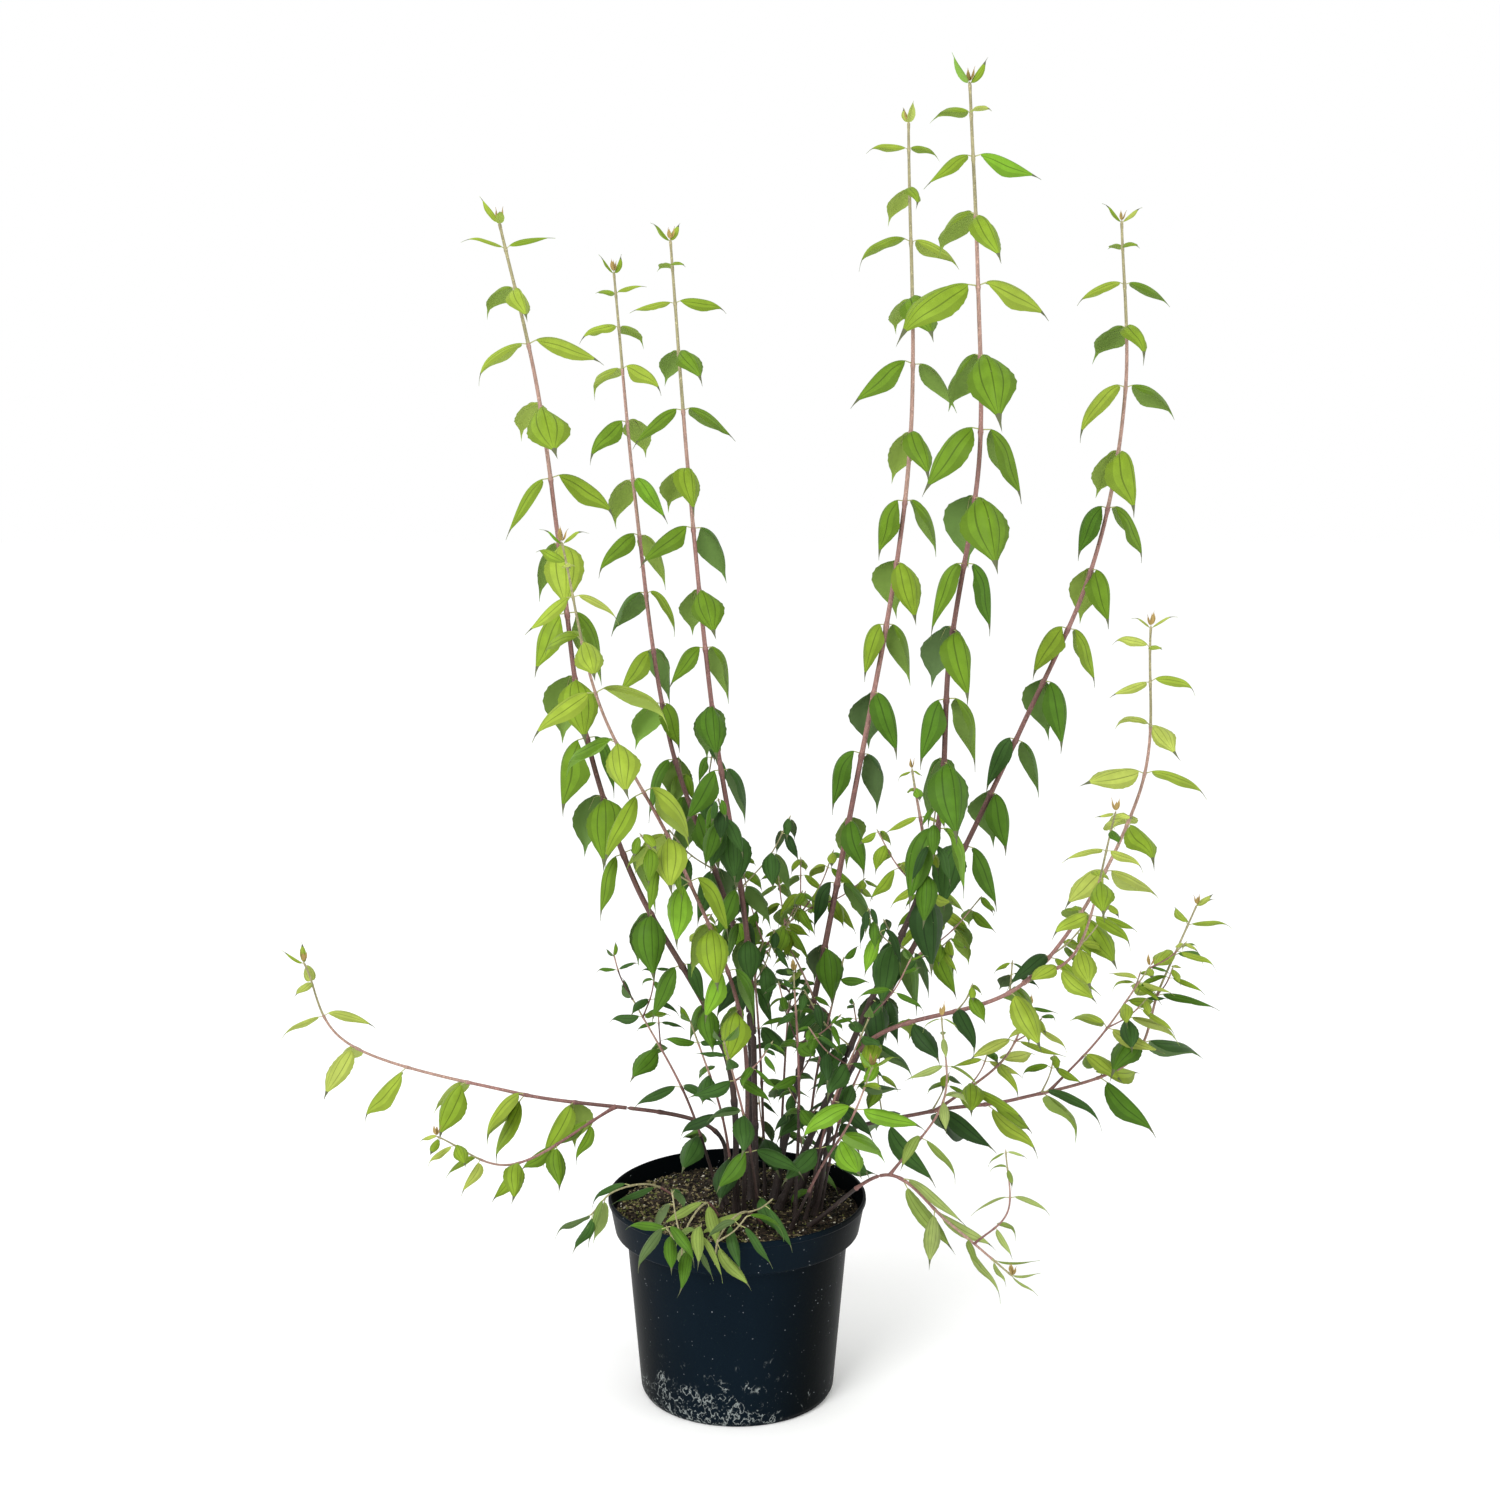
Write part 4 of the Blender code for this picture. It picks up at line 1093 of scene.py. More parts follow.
# %% Draw a leaf into a heap
def add_leaf(heap, leaf, tone, draw):
    """A fine leaf: a top sheet with quilted relief and teeth, an underside and a stalk."""
    stations = STATIONS if leaf.length > SMALLEST_FULL else SMALL_STATIONS
    sickle, fold = draw.uniform(-SICKLE, SICKLE), draw.uniform(*FOLD)
    wave, phase = draw.uniform(*WAVE), draw.uniform(0, RADIANS_ROUND)
    place = np.linspace(0.0, 1.0, stations) ** CROWDING
    level = max(0.0, math.cos(math.radians(leaf.fall)))
    bend = draw.uniform(-TWIST, TWIST), draw.uniform(*CURL) * level
    at, way, side, up = line_of(leaf, STALK + (1 - STALK) * place, sickle, *bend)
    half = leaf.width / 2 * outline(place)
    teeth = 1.0 + TOOTH * np.where(np.arange(stations) % 2, 1.0, -1.0)
    margin = np.abs(COLUMNS) == 1.0
    across = half[:, None] * COLUMNS * np.where(margin, teeth[:, None], 1.0)
    height = -fold * np.abs(COLUMNS) ** FOLD_POWER + QUILT_HEIGHT * QUILTED
    ripple = wave * np.sin(WAVE_RATE * place[:, None] + phase + COLUMNS) * np.abs(COLUMNS)
    lift = half[:, None] * (height + ripple)
    top = at[:, None] + side[:, None] * across[..., None] + up[:, None] * lift[..., None]
    looks = np.zeros((stations - 1, len(COLUMNS) - 1), int) + tone
    if tone < len(LEAF_GREENS):
        # Painted shade: the columns over the sunken veins take the darker greens.
        looks[:, VEINS] += VEIN_SHADE
        looks[:, MARGINS] += MARGIN
        looks[-TIP_STATIONS:] = TIP_LOOK
    heap.add(top.reshape(-1, 3), grid_faces(stations, len(COLUMNS), 0), looks.ravel())
    columns = [int(np.argmin(np.abs(COLUMNS - c))) for c in UNDER_COLUMNS]
    deep = np.where(np.abs(UNDER_COLUMNS) == 1.0, 0.0, THICKNESS)
    under = top[:, columns] - up[:, None] * deep[None, :, None]
    faces = grid_faces(stations, len(columns), 0, True)
    heap.add(under.reshape(-1, 3), faces, min(tone + UNDER, BUD_LOOK))
    if tone < len(LEAF_GREENS):
        add_stalk(heap, leaf, sickle)


def add_stalk(heap, leaf, sickle):
    """The short pale stalk from the stem into the blade, which runs on as a raised rib below it."""
    at, way, side, up = line_of(leaf, STALK_SHARES, sickle)
    radius = STALK_RADIUS * (leaf.length / STALK_OF_LENGTH) ** STALK_POWER * STALK_TAPER
    sink = STALK_SINK * (radius + THICKNESS)
    turn = np.arange(STALK_SIDES + 1) * 2 * math.pi / STALK_SIDES
    ring = side[:, None] * np.cos(turn)[None, :, None] + up[:, None] * np.sin(turn)[None, :, None]
    points = at[:, None] - up[:, None] * sink[:, None, None] + ring * radius[:, None, None]
    heap.add(points.reshape(-1, 3), grid_faces(len(at), STALK_SIDES + 1, 0, True), STALK_LOOK)


# %% [markdown]
# ## Which green a leaf takes
# Every shoot has its own depth of green, from the lime of the side shoots to the dark leaves at the crown,
# and each leaf is deeper green with age. Greens dealt out wholly at random would make the plant look flat,
# so chance only stirs them: two shoots have some darker leaves, and four some vivid ones.

# %% Greens by shoot
SHADE = {
    "shoot_left_outer": 0.17, "shoot_left_light": 0.14, "shoot_left_middle": 0.28, "shoot_left_inner": 0.30,
    "shoot_right_inner": 0.22, "shoot_right_tall": 0.24, "shoot_right_outer": 0.26, "shoot_centre": 0.62,
    "shoot_right_grey": 0.10, "shoot_far_right": 0.12, "shoot_front": 0.20, "shoot_low_left": 0.20,
}
TUFT_SHADE = 0.68
AGE_SHADE = 0.30
OLDEST = 1.8
STRAY_SHADE = 0.15
MIXED_MASSES = ("shoot_right_grey", "shoot_far_right")
DARK_SHARE = 0.20
DARK_SHADE = 0.45
VIVID_SHARE = {
    "shoot_front": 0.56, "shoot_left_middle": 0.07, "shoot_left_light": 0.07, "shoot_right_tall": 0.07,
}
FIRST_OLIVE = len(GREENS)
VIVID_TONE = len(LEAF_GREENS) - 1
SPRAY_TONES = (FIRST_OLIVE + 1, FIRST_OLIVE + 2, FIRST_OLIVE + 3, 4, 5)
PALEST_OLIVES = (FIRST_OLIVE, FIRST_OLIVE + 1)


# %% Choose a leaf's green
def tone_of(mass, age, draw):
    """The number of a leaf's green. The leaves of the lowest shoot and most of the sprays' are olive."""
    chance = draw.random()
    if mass in SPRAY_MASSES:
        return draw.choice(SPRAY_TONES)
    if chance < VIVID_SHARE.get(mass, 0.0):
        return VIVID_TONE
    if mass == "shoot_low_right":
        return draw.choice(PALEST_OLIVES)
    dark = DARK_SHADE if mass in MIXED_MASSES and chance < DARK_SHARE else 0.0
    shade = SHADE.get(mass, TUFT_SHADE) + AGE_SHADE * min(age, OLDEST)
    shade += draw.uniform(-STRAY_SHADE, STRAY_SHADE)
    return int(max(0, min(len(GREENS) - 1, (shade + dark) * len(GREENS))))


# %% [markdown]
# ### True widths, and buds at the tips
# Young leaves are narrow, and so are those on old wood and at the crown. On three shoots at the right the
# leaves are narrower too and stand out more level. The plain solids have one width for each shoot. The fine
# leaf is narrowed as it is drawn, which is simpler than a second rule. A few leaflets round each main tip
# make its bud.

# %% Leaf widths and tip buds
BLADE_WIDTH = 0.94
AGES = (0.0, 0.12, 0.45, 1.2, 1.9)
WIDTH_AT_AGE = (0.56, 0.74, 1.0, 1.0, 0.80)
CROWN_WIDTH = 0.84
SHOOT_WIDTH = {"shoot_low_right": 0.78, "shoot_right_grey": 0.92, "shoot_far_right": 0.96}
SHOOT_LENGTH = {"shoot_low_right": 1.10, "shoot_far_right": 1.20}
RAISED = {"shoot_low_right": 0.80, "shoot_right_grey": 0.55, "shoot_far_right": 0.55}
BUD_LEAFLETS = 3
BUD_LENGTH = (0.009, 0.013)
BUD_DEPTH = 0.001
BUD_TURN = 0.3
BUD_RISE = (76, 86)
BUD_ARCH = (2, 16)
BUD_WIDTH = 0.30


# %% Narrow a leaf, and make a bud
def narrowed(mass, leaf, age):
    """A leaf with its true size and fall. The sprays' leaves have theirs already."""
    if mass in SPRAY_MASSES:
        return leaf
    share = CROWN_WIDTH if mass in CROWN_MASSES else float(np.interp(age, AGES, WIDTH_AT_AGE))
    width = leaf.width * BLADE_WIDTH * share * SHOOT_WIDTH.get(mass, 1.0)
    length = leaf.length * SHOOT_LENGTH.get(mass, 1.0)
    return leaf._replace(length=length, width=width, fall=leaf.fall * RAISED.get(mass, 1.0))


def bud_leaflets(stem, draw):
    """Small leaflets that stand up round a shoot's very tip."""
    tip = stem.route.at(stem.route.length - BUD_DEPTH)
    axis = stem.route.direction(stem.route.length)
    heading = math.atan2(axis.y, axis.x)
    made = []
    for i in range(BUD_LEAFLETS):
        size = draw.uniform(*BUD_LENGTH)
        turn = heading + i * 2 * math.pi / BUD_LEAFLETS + draw.uniform(-BUD_TURN, BUD_TURN)
        rise = draw.uniform(*BUD_RISE)
        made.append(Leaf(tip, turn, rise, rise - draw.uniform(*BUD_ARCH), size, size * BUD_WIDTH, 0.0))
    return made


# %% Join the leaves into a few pieces
GROUPS = {
    "left": ("shoot_left_outer", "shoot_left_light", "shoot_left_middle", "shoot_left_inner"),
    "right": ("shoot_right_inner", "shoot_right_tall", "shoot_right_outer", "shoot_right_grey"),
    "low": ("shoot_far_right", "shoot_low_right", "shoot_low_left", "shoot_front", *SPRAY_MASSES),
    "crown": CROWN_MASSES,
}


def slot_of(group):
    """The name leaf_dark for the crown's group, and leaf for the other groups."""
    return "leaf_dark" if group == "crown" else "leaf"


def leaves_piece(group):
    """All the leaves of a group of shoots, as one piece."""
    heap = Heap()
    for mass in GROUPS[group]:
        draw = random.Random(mass)
        stems, leaves = grown[mass]
        for leaf, age in leaves:
            add_leaf(heap, narrowed(mass, leaf, age), tone_of(mass, age, draw), draw)
        for stem in stems:
            if mass.startswith("shoot") and stem.radius > TWIG_RADIUS:
                for leaflet in bud_leaflets(stem, draw):
                    add_leaf(heap, leaflet, BUD_LOOK, draw)
    heap.piece(f"leaves_{group}", leaf_looks, slot_of(group), ())


for group in GROUPS:
    leaves_piece(group)

# %% [markdown]
# ## Bark
# The canes are dark brown at the foot, reddish brown in the middle and pale green-tan at the tip, with a
# swollen ring at each node. A curve with a bevel would be quick, but it is smooth all along. A tube of many
# rings carries the real form: fine ridges along it, and a swelling where leaves stand or stood. The colour
# changes from one internode to the next, as on the real cane.

# %% Bark colours, from the foot to the tip
BARKS = (
    (0.032, 0.019, 0.016),
    (0.052, 0.027, 0.022),
    (0.090, 0.042, 0.033),
    (0.150, 0.068, 0.058),
    (0.235, 0.108, 0.096),
    (0.330, 0.168, 0.145),
    (0.400, 0.245, 0.195),
    (0.340, 0.305, 0.160),
)
BARK_ROUGHNESS = 0.55
STREAK_SIZE = 0.0011
STREAK_STRETCH = (1.0, 1.0, 0.12)
STREAK_EDGE = (0.30, 0.70)
STREAK_DARK = 0.62
STREAK_ROUGH = 0.25
STREAK_DEPTH = 0.0002
PORE_SIZE = 0.0013
PORE_EDGE = (0.68, 0.76)
PORE_SHARE = 0.5
PORE_LIGHT = 1.7
PORE_LIFT = 0.03


# %% A bark's surface
def bark_look(number, colour):
    """Bark with fine streaks along the cane and small pale pores."""
    look = Look(f"bark {number + 1}", colour, BARK_ROUGHNESS)
    streak = look.grain(STREAK_SIZE, 3.0, STREAK_STRETCH)
    pore = look.step(look.grain(PORE_SIZE, 0.0), *PORE_EDGE)
    streaked = look.mix(look.step(streak, *STREAK_EDGE), deeper(colour, STREAK_DARK), colour)
    look.set("Base Color", look.mix(pore * PORE_SHARE, streaked, pore_colour(colour)))
    look.set("Roughness", BARK_ROUGHNESS + STREAK_ROUGH * streak)
    look.bump(streak, STREAK_DEPTH)
    return look.material


def pore_colour(colour):
    """The pale pores of a bark."""
    return tuple(min(1.0, c * PORE_LIGHT + PORE_LIFT) for c in colour)


bark_looks = [bark_look(i, c) for i, c in enumerate(BARKS)]
print(f"{len(bark_looks)} bark materials")

# %% A cane's fine surface
RING_STEP = 0.0028
LEAST_RINGS = 4
CANE_SIDES = 12
TWIG_SIDES = 7
NODE_SWELL = 0.34
NODE_REACH = 0.0021
RIDGE = 0.045
RIDGES = 3
FINE_RIDGES = 5
FINE_RIDGE = 0.8
RIDGE_SPIRAL = 90
THINNEST_ROUND = 0.00135
TIP_CLOSING = 0.3


# %% Rings along a limb
def frames_along(points):
    """Two directions across a line at each of its points."""
    ways = np.gradient(points, axis=0)
    ways /= np.linalg.norm(ways, axis=1)[:, None]
    steady = np.eye(3)[int(np.argmin(np.abs(ways.mean(axis=0))))]
    first = steady - ways * (ways @ steady)[:, None]
    first /= np.linalg.norm(first, axis=1)[:, None]
    return first, np.cross(ways, first)


def add_bark(heap, route, foot_radius, start, end, knots, ridged, looks, draw):
    """A limb's fine surface from start to end. ridged is how strong its ridges are, and looks gives a
    material number at each distance."""
    rings = max(LEAST_RINGS, int((end - start) / RING_STEP))
    at = np.linspace(start, end, rings)
    points = route.many(at)
    radii = limb_radius(route, foot_radius, at, start == 0.0)
    for knot in knots:
        radii = radii * (1.0 + NODE_SWELL * np.exp(-(((at - knot) / NODE_REACH) ** 2)))
    radii[-1] *= TIP_CLOSING
    first, second = frames_along(points)
    sides = CANE_SIDES if foot_radius > THINNEST_ROUND else TWIG_SIDES
    turn = np.arange(sides + 1) * 2 * math.pi / sides
    phase = draw.uniform(0, RADIANS_ROUND)
    spiral = np.sin(FINE_RIDGES * turn[None, :] + RIDGE_SPIRAL * at[:, None] + phase)
    rough = 1.0 + RIDGE * ridged * (np.sin(RIDGES * turn + phase) + FINE_RIDGE * spiral)
    around = first[:, None] * np.cos(turn)[None, :, None] + second[:, None] * np.sin(turn)[None, :, None]
    skin = points[:, None] + around * (radii[:, None] * rough)[..., None]
    tones = np.repeat(looks(at[:-1]), sides)
    heap.add(skin.reshape(-1, 3), grid_faces(rings, sides + 1, 0), tones)


# %% [markdown]
# ### Old nodes on the bare foot
# The bare foot of a cane has nodes too, where leaves have fallen. They could be placed by hand, but they go
# on down at the cane's own gap, so the same rule gives them.

# %% Canes and stems
PALE = {
    "shoot_left_light": 0.34, "shoot_right_grey": 0.42, "shoot_far_right": 0.34, "shoot_low_right": 0.38,
    "shoot_low_left": 0.34, "shoot_front": 0.25, "shoot_right_inner": 0.36, "shoot_left_inner": 0.22,
    "shoot_right_outer": 0.18, "shoot_left_middle": 0.12, "shoot_left_outer": 0.12,
}
PALE |= dict.fromkeys(SPRAY_MASSES, 0.88) | dict.fromkeys(TUFT_MASSES, 0.20)
PALE_FROM = 0.25
AGE_PALE = 0.8
FORK_PALE = 0.16
TIPWARD = 1.05
STRAY_PALE = 0.03
NODE_DROP = 0.03
GREEN_RIDGES = 0.6
LEAFY_FROM = 0.02


# %% The bark's colour along a stem
def bark_tones(stem, mass, draw):
    """A function that gives the bark colour at distances along a stem, one for each internode."""
    knots = np.sort(np.array([*stem.knots, *np.arange(stem.start - NODE_DROP, 0.0, -stem.rule.gap)]))
    stray = np.array([draw.uniform(-STRAY_PALE, STRAY_PALE) for _ in range(len(knots) + 1)])
    pale = PALE.get(mass, 0.0) + stem.age * AGE_PALE + FORK_PALE * (stem.age > 0)

    def tones(at):
        internode = np.searchsorted(knots, at)
        middle = np.concatenate([[0.0], knots])[internode] / stem.route.length
        rooted = np.minimum(1.0, middle / PALE_FROM) if stem.age == 0 else 1.0
        share = pale * rooted + (1 - pale) * middle**TIPWARD + stray[internode]
        return np.clip((share * len(BARKS)).astype(int), 0, len(BARKS) - 1)

    return tones, knots


# %% Join the bark into pieces
def stems_pieces():
    """The bare canes as one piece, and the leafy stems and twigs of each group as another."""
    canes = Heap()
    for shoot in SHOOTS:
        draw = random.Random(shoot.name)
        stem = grown[f"shoot_{shoot.name}"][0][0]
        tones, knots = bark_tones(stem, f"shoot_{shoot.name}", draw)
        add_bark(canes, stem.route, shoot.foot_radius, 0.0, shoot.bare, knots, 1.0, tones, draw)
    canes.piece("canes", bark_looks, "bark", [f"cane_{shoot.name}" for shoot in SHOOTS])
    for group, names in GROUPS.items():
        heap = Heap()
        for mass in names:
            draw = random.Random(f"{mass} stems")
            for stem in grown[mass][0]:
                tones, knots = bark_tones(stem, mass, draw)
                start = stem.start if stem.start > LEAFY_FROM else 0.0
                end = stem.route.length
                add_bark(heap, stem.route, stem.radius, start, end, knots, GREEN_RIDGES, tones, draw)
        heap.piece(f"stems_{group}", bark_looks, slot_of(group), names)


stems_pieces()

# %% [markdown]
# ## The pot
# A five-litre nursery pot is thin blow-moulded plastic with a flared collar. It could be a scaled cylinder
# with an inset, but its wall bends several times. It is a turned shape, so a profile with a Screw modifier
# makes it, and small arcs round its corners. Its floor has a ring of holes.

# %% The pot's sizes
POT_HEIGHT = 0.1805
RIM_RADIUS = 0.1125
LIP_WIDTH = 0.0022
LIP_BULGE = 0.0004
LIP_BULGE_DEPTH = 1.9 * LIP_WIDTH
LIP_UNDERCUT_DEPTH = 2.4 * LIP_WIDTH
LIP_UNDERCUT = 0.0011
COLLAR_BULGE = 0.0006
COLLAR_HEIGHT = 0.031
COLLAR_FOOT_RADIUS = 0.1060
SHOULDER_HEIGHT = 0.0045
WALL_TOP_RADIUS = 0.0967
WALL_FOOT_RADIUS = 0.0850
FOOT_RADIUS = 0.0818
FOOT_ROUNDING = 0.0055
WALL_THICKNESS = 0.0018
FLOOR_THICKNESS = 0.0026
COLLAR_FOOT = POT_HEIGHT - COLLAR_HEIGHT
POT_STEPS = 144
DRAIN_HOLES = 8
DRAIN_HOLE_RADIUS = 0.0045
DRAIN_RING_RADIUS = 0.060
DRAIN_FIRST = 0.37
DRAIN_SIDES = 24
DRILL_LENGTH = 4 * FLOOR_THICKNESS
CORNER_STEPS = 4
CORNER_REACH = 0.0016
CORNER_SHARE = 0.4
POT_CREASE = 38
print(f"pot {2 * RIM_RADIUS * 1000:.0f} mm across, {POT_HEIGHT * 1000:.0f} mm high")


# %% Rounded corners and turning
def rounded(profile, reach):
    """The profile with a small arc in place of each corner."""
    made = [profile[0]]
    for before, corner, after in zip(profile, profile[1:], profile[2:]):
        corner = Vector(corner)
        near, far = Vector(before) - corner, Vector(after) - corner
        cut = min(reach, near.length * CORNER_SHARE, far.length * CORNER_SHARE)
        start, end = corner + near.normalized() * cut, corner + far.normalized() * cut
        for k in range(CORNER_STEPS + 1):
            f = k / CORNER_STEPS
            point = start * (1 - f) ** 2 + corner * 2 * f * (1 - f) + end * f**2
            made.append((point.x, point.y))
    return [*made, profile[-1]]


# %% Turn a profile
def turned(name, profile, steps, material):
    """A solid of revolution: a profile from the axis, over the outside and back to the axis."""
    mesh = bpy.data.meshes.new(name)
    edges = [(i, i + 1) for i in range(len(profile) - 1)]
    mesh.from_pydata([(radius, 0.0, height) for radius, height in profile], edges, [])
    mesh.materials.append(material)
    made = stood(name, mesh)
    screw = made.modifiers.new("turn", "SCREW")
    screw.steps = screw.render_steps = steps
    screw.use_merge_vertices = True
    screw.merge_threshold = SEAM_WELD
    return made


def applied(made):
    """The object with its modifiers made real."""
    made.data = real_mesh(made)
    made.modifiers.clear()
    return made


# %% [markdown]
# ### Black plastic that has stood in a nursery
# The plastic is near black with a satin shine, and a broad navy painted highlight lies on its front.
# Its foot carries chalky strokes and rubs, most at the front left, and fine white specks lie all over. They
# could be
# painted on a picture, but a picture needs an unwrapped mesh. Masks from noise, times the height, place them
# instead. A stroke is where a noise crosses its middle value, which gives thin winding lines.

# %% The pot's plastic
SPLASH_HEIGHT = 0.092
SPLASH_SIDE = (-0.40, -0.92, 0.0)
SPLASH_FADE = (0.02, 0.085)
SPLASH_AROUND = 0.30
SPLASH_SHARE = 0.70
# Where the painted navy highlight lies: on the front, fading towards the sides.
PAINTED_SHEEN_SIDE = (-0.22, -0.975, 0.0)
PAINTED_SHEEN_FADE = (0.040, 0.100)
PLASTIC = (0.0010, 0.0022, 0.0028)
# The colour of the painted navy highlight, a sheen put into the base colour.
PAINTED_SHEEN = (0.0036, 0.0088, 0.0150)
CHALK = (0.30, 0.33, 0.32)
SPECK = (0.34, 0.37, 0.39)
SPECK_CELLS = 300.0
SPECK_EDGE = (0.10, 0.22)
SPECK_PATCH = 0.0085
SPECK_THERE = (0.58, 0.70)
SPECK_STRENGTH = 0.6
STROKE_SIZE = 0.0065
STROKE_STRETCH = (1.0, 1.0, 0.7)
STROKE_EDGE = (0.00004, 0.0010)
STROKE_PATCH = 0.013
STROKE_THERE = (0.70, 0.92)
STROKE_LOW = 0.40
STROKE_STRENGTH = 0.8
RUB_SIZE = 0.0022
RUB_THERE = (0.88, 1.02)
RUB_LOW = 0.34
RUB_STRENGTH = 0.7
CHALK_STRENGTH = 0.8
HAZE_SIZE = 0.03
HAZE_STRETCH = (1.0, 1.0, 0.4)
# How strong and how patchy the painted navy highlight is.
PAINTED_SHEEN_LEAST = 0.70
PAINTED_SHEEN_HAZE = 0.50
SATIN = 0.33
HAZE_ROUGH = 0.12
CHALK_ROUGH = 0.35
CHALK_RELIEF = 0.6
PLASTIC_GLOSS = 0.02
PLASTIC_GRAIN = 0.003
PLASTIC_RELIEF = 0.00008


# %% Chalk and specks
def chalk_mask(look):
    """Where the chalk lies: winding strokes and fine rubs, thickest low down at the splashed side."""
    height = look.node("ShaderNodeSeparateXYZ", None, {0: look.place()}, output="Z")
    low = 1 - look.step(height, 0.0, SPLASH_HEIGHT)
    near = low * (SPLASH_AROUND + SPLASH_SHARE * look.step(look.towards(SPLASH_SIDE), *SPLASH_FADE))
    off = look.grain(STROKE_SIZE, 5.0, STROKE_STRETCH) - 0.5
    patch = look.step(look.grain(STROKE_PATCH, 3.0) + STROKE_LOW * near, *STROKE_THERE)
    stroke = (1 - look.step(off * off, *STROKE_EDGE)) * patch
    rub = look.step(look.grain(RUB_SIZE, 6.0) + RUB_LOW * near, *RUB_THERE)
    return look.step(stroke * STROKE_STRENGTH + rub * RUB_STRENGTH, 0.0, 1.0)


def speck_mask(look):
    """Where the white specks lie: the middles of small cells, in patches."""
    cells = {"Vector": look.place(), "Scale": SPECK_CELLS, "Randomness": 1.0}
    speck = 1 - look.step(look.node("ShaderNodeTexVoronoi", None, cells, output="Distance"), *SPECK_EDGE)
    return speck * look.step(look.grain(SPECK_PATCH, 2.0), *SPECK_THERE)


# %% The plastic's surface
def pot_look():
    """Near-black plastic with a painted navy highlight on its front, specks and chalk."""
    look = Look("black pot plastic", PLASTIC, SATIN, Specular_IOR_Level=PLASTIC_GLOSS)
    chalk, haze = chalk_mask(look), look.grain(HAZE_SIZE, 3.0, HAZE_STRETCH)
    # Painted highlight: a navy sheen on the front, mixed into the base colour.
    painted_sheen = look.step(look.towards(PAINTED_SHEEN_SIDE), *PAINTED_SHEEN_FADE) * (PAINTED_SHEEN_LEAST + PAINTED_SHEEN_HAZE * haze)
    specked = look.mix(speck_mask(look) * SPECK_STRENGTH, look.mix(painted_sheen, PLASTIC, PAINTED_SHEEN), SPECK)
    look.set("Base Color", look.mix(chalk * CHALK_STRENGTH, specked, CHALK))
    look.set("Roughness", SATIN + HAZE_ROUGH * haze + CHALK_ROUGH * chalk)
    look.bump(look.grain(PLASTIC_GRAIN, 1.0) + chalk * CHALK_RELIEF, PLASTIC_RELIEF)
    return look.material


plastic = pot_look()


# %% The pot's profile
def inside_profile():
    """The inner wall from the floor's edge up to the lip."""
    return [
        (WALL_FOOT_RADIUS - WALL_THICKNESS, FLOOR_THICKNESS),
        (WALL_TOP_RADIUS - WALL_THICKNESS, COLLAR_FOOT - SHOULDER_HEIGHT),
        (COLLAR_FOOT_RADIUS - WALL_THICKNESS, COLLAR_FOOT),
        (RIM_RADIUS - LIP_WIDTH, POT_HEIGHT),
    ]


def outside_profile():
    """The rolled lip, the collar, the wall and the foot, from the lip down."""
    return [
        (RIM_RADIUS, POT_HEIGHT),
        (RIM_RADIUS + LIP_BULGE, POT_HEIGHT - LIP_BULGE_DEPTH),
        (RIM_RADIUS - LIP_UNDERCUT, POT_HEIGHT - LIP_UNDERCUT_DEPTH),
        (COLLAR_FOOT_RADIUS + COLLAR_BULGE, COLLAR_FOOT),
        (WALL_TOP_RADIUS, COLLAR_FOOT - SHOULDER_HEIGHT),
        (WALL_FOOT_RADIUS, FOOT_ROUNDING),
        (FOOT_RADIUS, 0.0),
    ]


# %% Turn the pot and drill its floor
def drill_bits():
    """A short cylinder at each drain hole, in a collection of their own."""
    drills = bpy.data.collections.new("drills")
    bpy.context.scene.collection.children.link(drills)
    for i in range(DRAIN_HOLES):
        turn = math.radians((i + DRAIN_FIRST) * WHOLE_TURN / DRAIN_HOLES)
        place = (DRAIN_RING_RADIUS * math.cos(turn), DRAIN_RING_RADIUS * math.sin(turn), 0)
        mesh = bpy.data.meshes.new("drill")
        work = bmesh.new()
        bmesh.ops.create_cone(
            work, cap_ends=True, segments=DRAIN_SIDES, radius1=DRAIN_HOLE_RADIUS, radius2=DRAIN_HOLE_RADIUS,
            depth=DRILL_LENGTH, matrix=Matrix.Translation(place),
        )
        work.to_mesh(mesh)
        work.free()
        drills.objects.link(bpy.data.objects.new(f"drill_{i + 1}", mesh))
    return drills


# %% The fine pot
def pot_piece():
    """The fine pot, in the place of the plain one."""
    profile = [(0.0, FLOOR_THICKNESS), *inside_profile(), *outside_profile(), (0.0, 0.0)]
    pot = turned("nursery_pot", rounded(profile, CORNER_REACH), POT_STEPS, plastic)
    drills = drill_bits()
    cut = pot.modifiers.new("drain holes", "BOOLEAN")
    cut.operation, cut.operand_type, cut.collection = "DIFFERENCE", "COLLECTION", drills
    applied(pot)
    for drill in list(drills.objects):
        bpy.data.objects.remove(drill, do_unlink=True)
    bpy.data.collections.remove(drills)
    pot.data.shade_smooth()
    pot.data.set_sharp_from_angle(angle=math.radians(POT_CREASE))
    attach(pot, "root")
    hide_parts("pot")
    print(f"pot: {len(pot.data.polygons)} faces")


pot_piece()

# %% [markdown]
# ## Compost
# Moist peat is dark and crumbly, with tan fibres, pale grit and moss. More tan and moss lie at the left,
# partly real and partly a painted pool of light. A bumpy material alone would look painted where the light
# grazes it. So the bulk is a turned body whose top is broken up by noise, and thousands of small lumps
# lie on it, joined into one piece, each with one of a few peat colours.

# %% The compost's body
COMPOST_LEVEL_RADIUS = 0.078
COMPOST_EDGE_DROP = 0.004
SURFACE_ROUGH = 0.0022
SURFACE_RINGS = 70
SURFACE_STEPS = 220
SURFACE_RIM = 0.0005
FINE_LUMPS = 260
BROAD_LUMPS = 90
FINE_SHARE = 0.6
LUMP_HEIGHT = 0.7
PEAT = (0.050, 0.033, 0.021)
BED_SHADOW = 0.35
PEAT_ROUGHNESS = 0.82
PEAT_STRAY = 0.16
PEAT_GLOSS = 0.2
PEAT_GRAIN = 0.0022
PEAT_EDGE = (0.38, 0.66)
PEAT_RELIEF = 0.0008


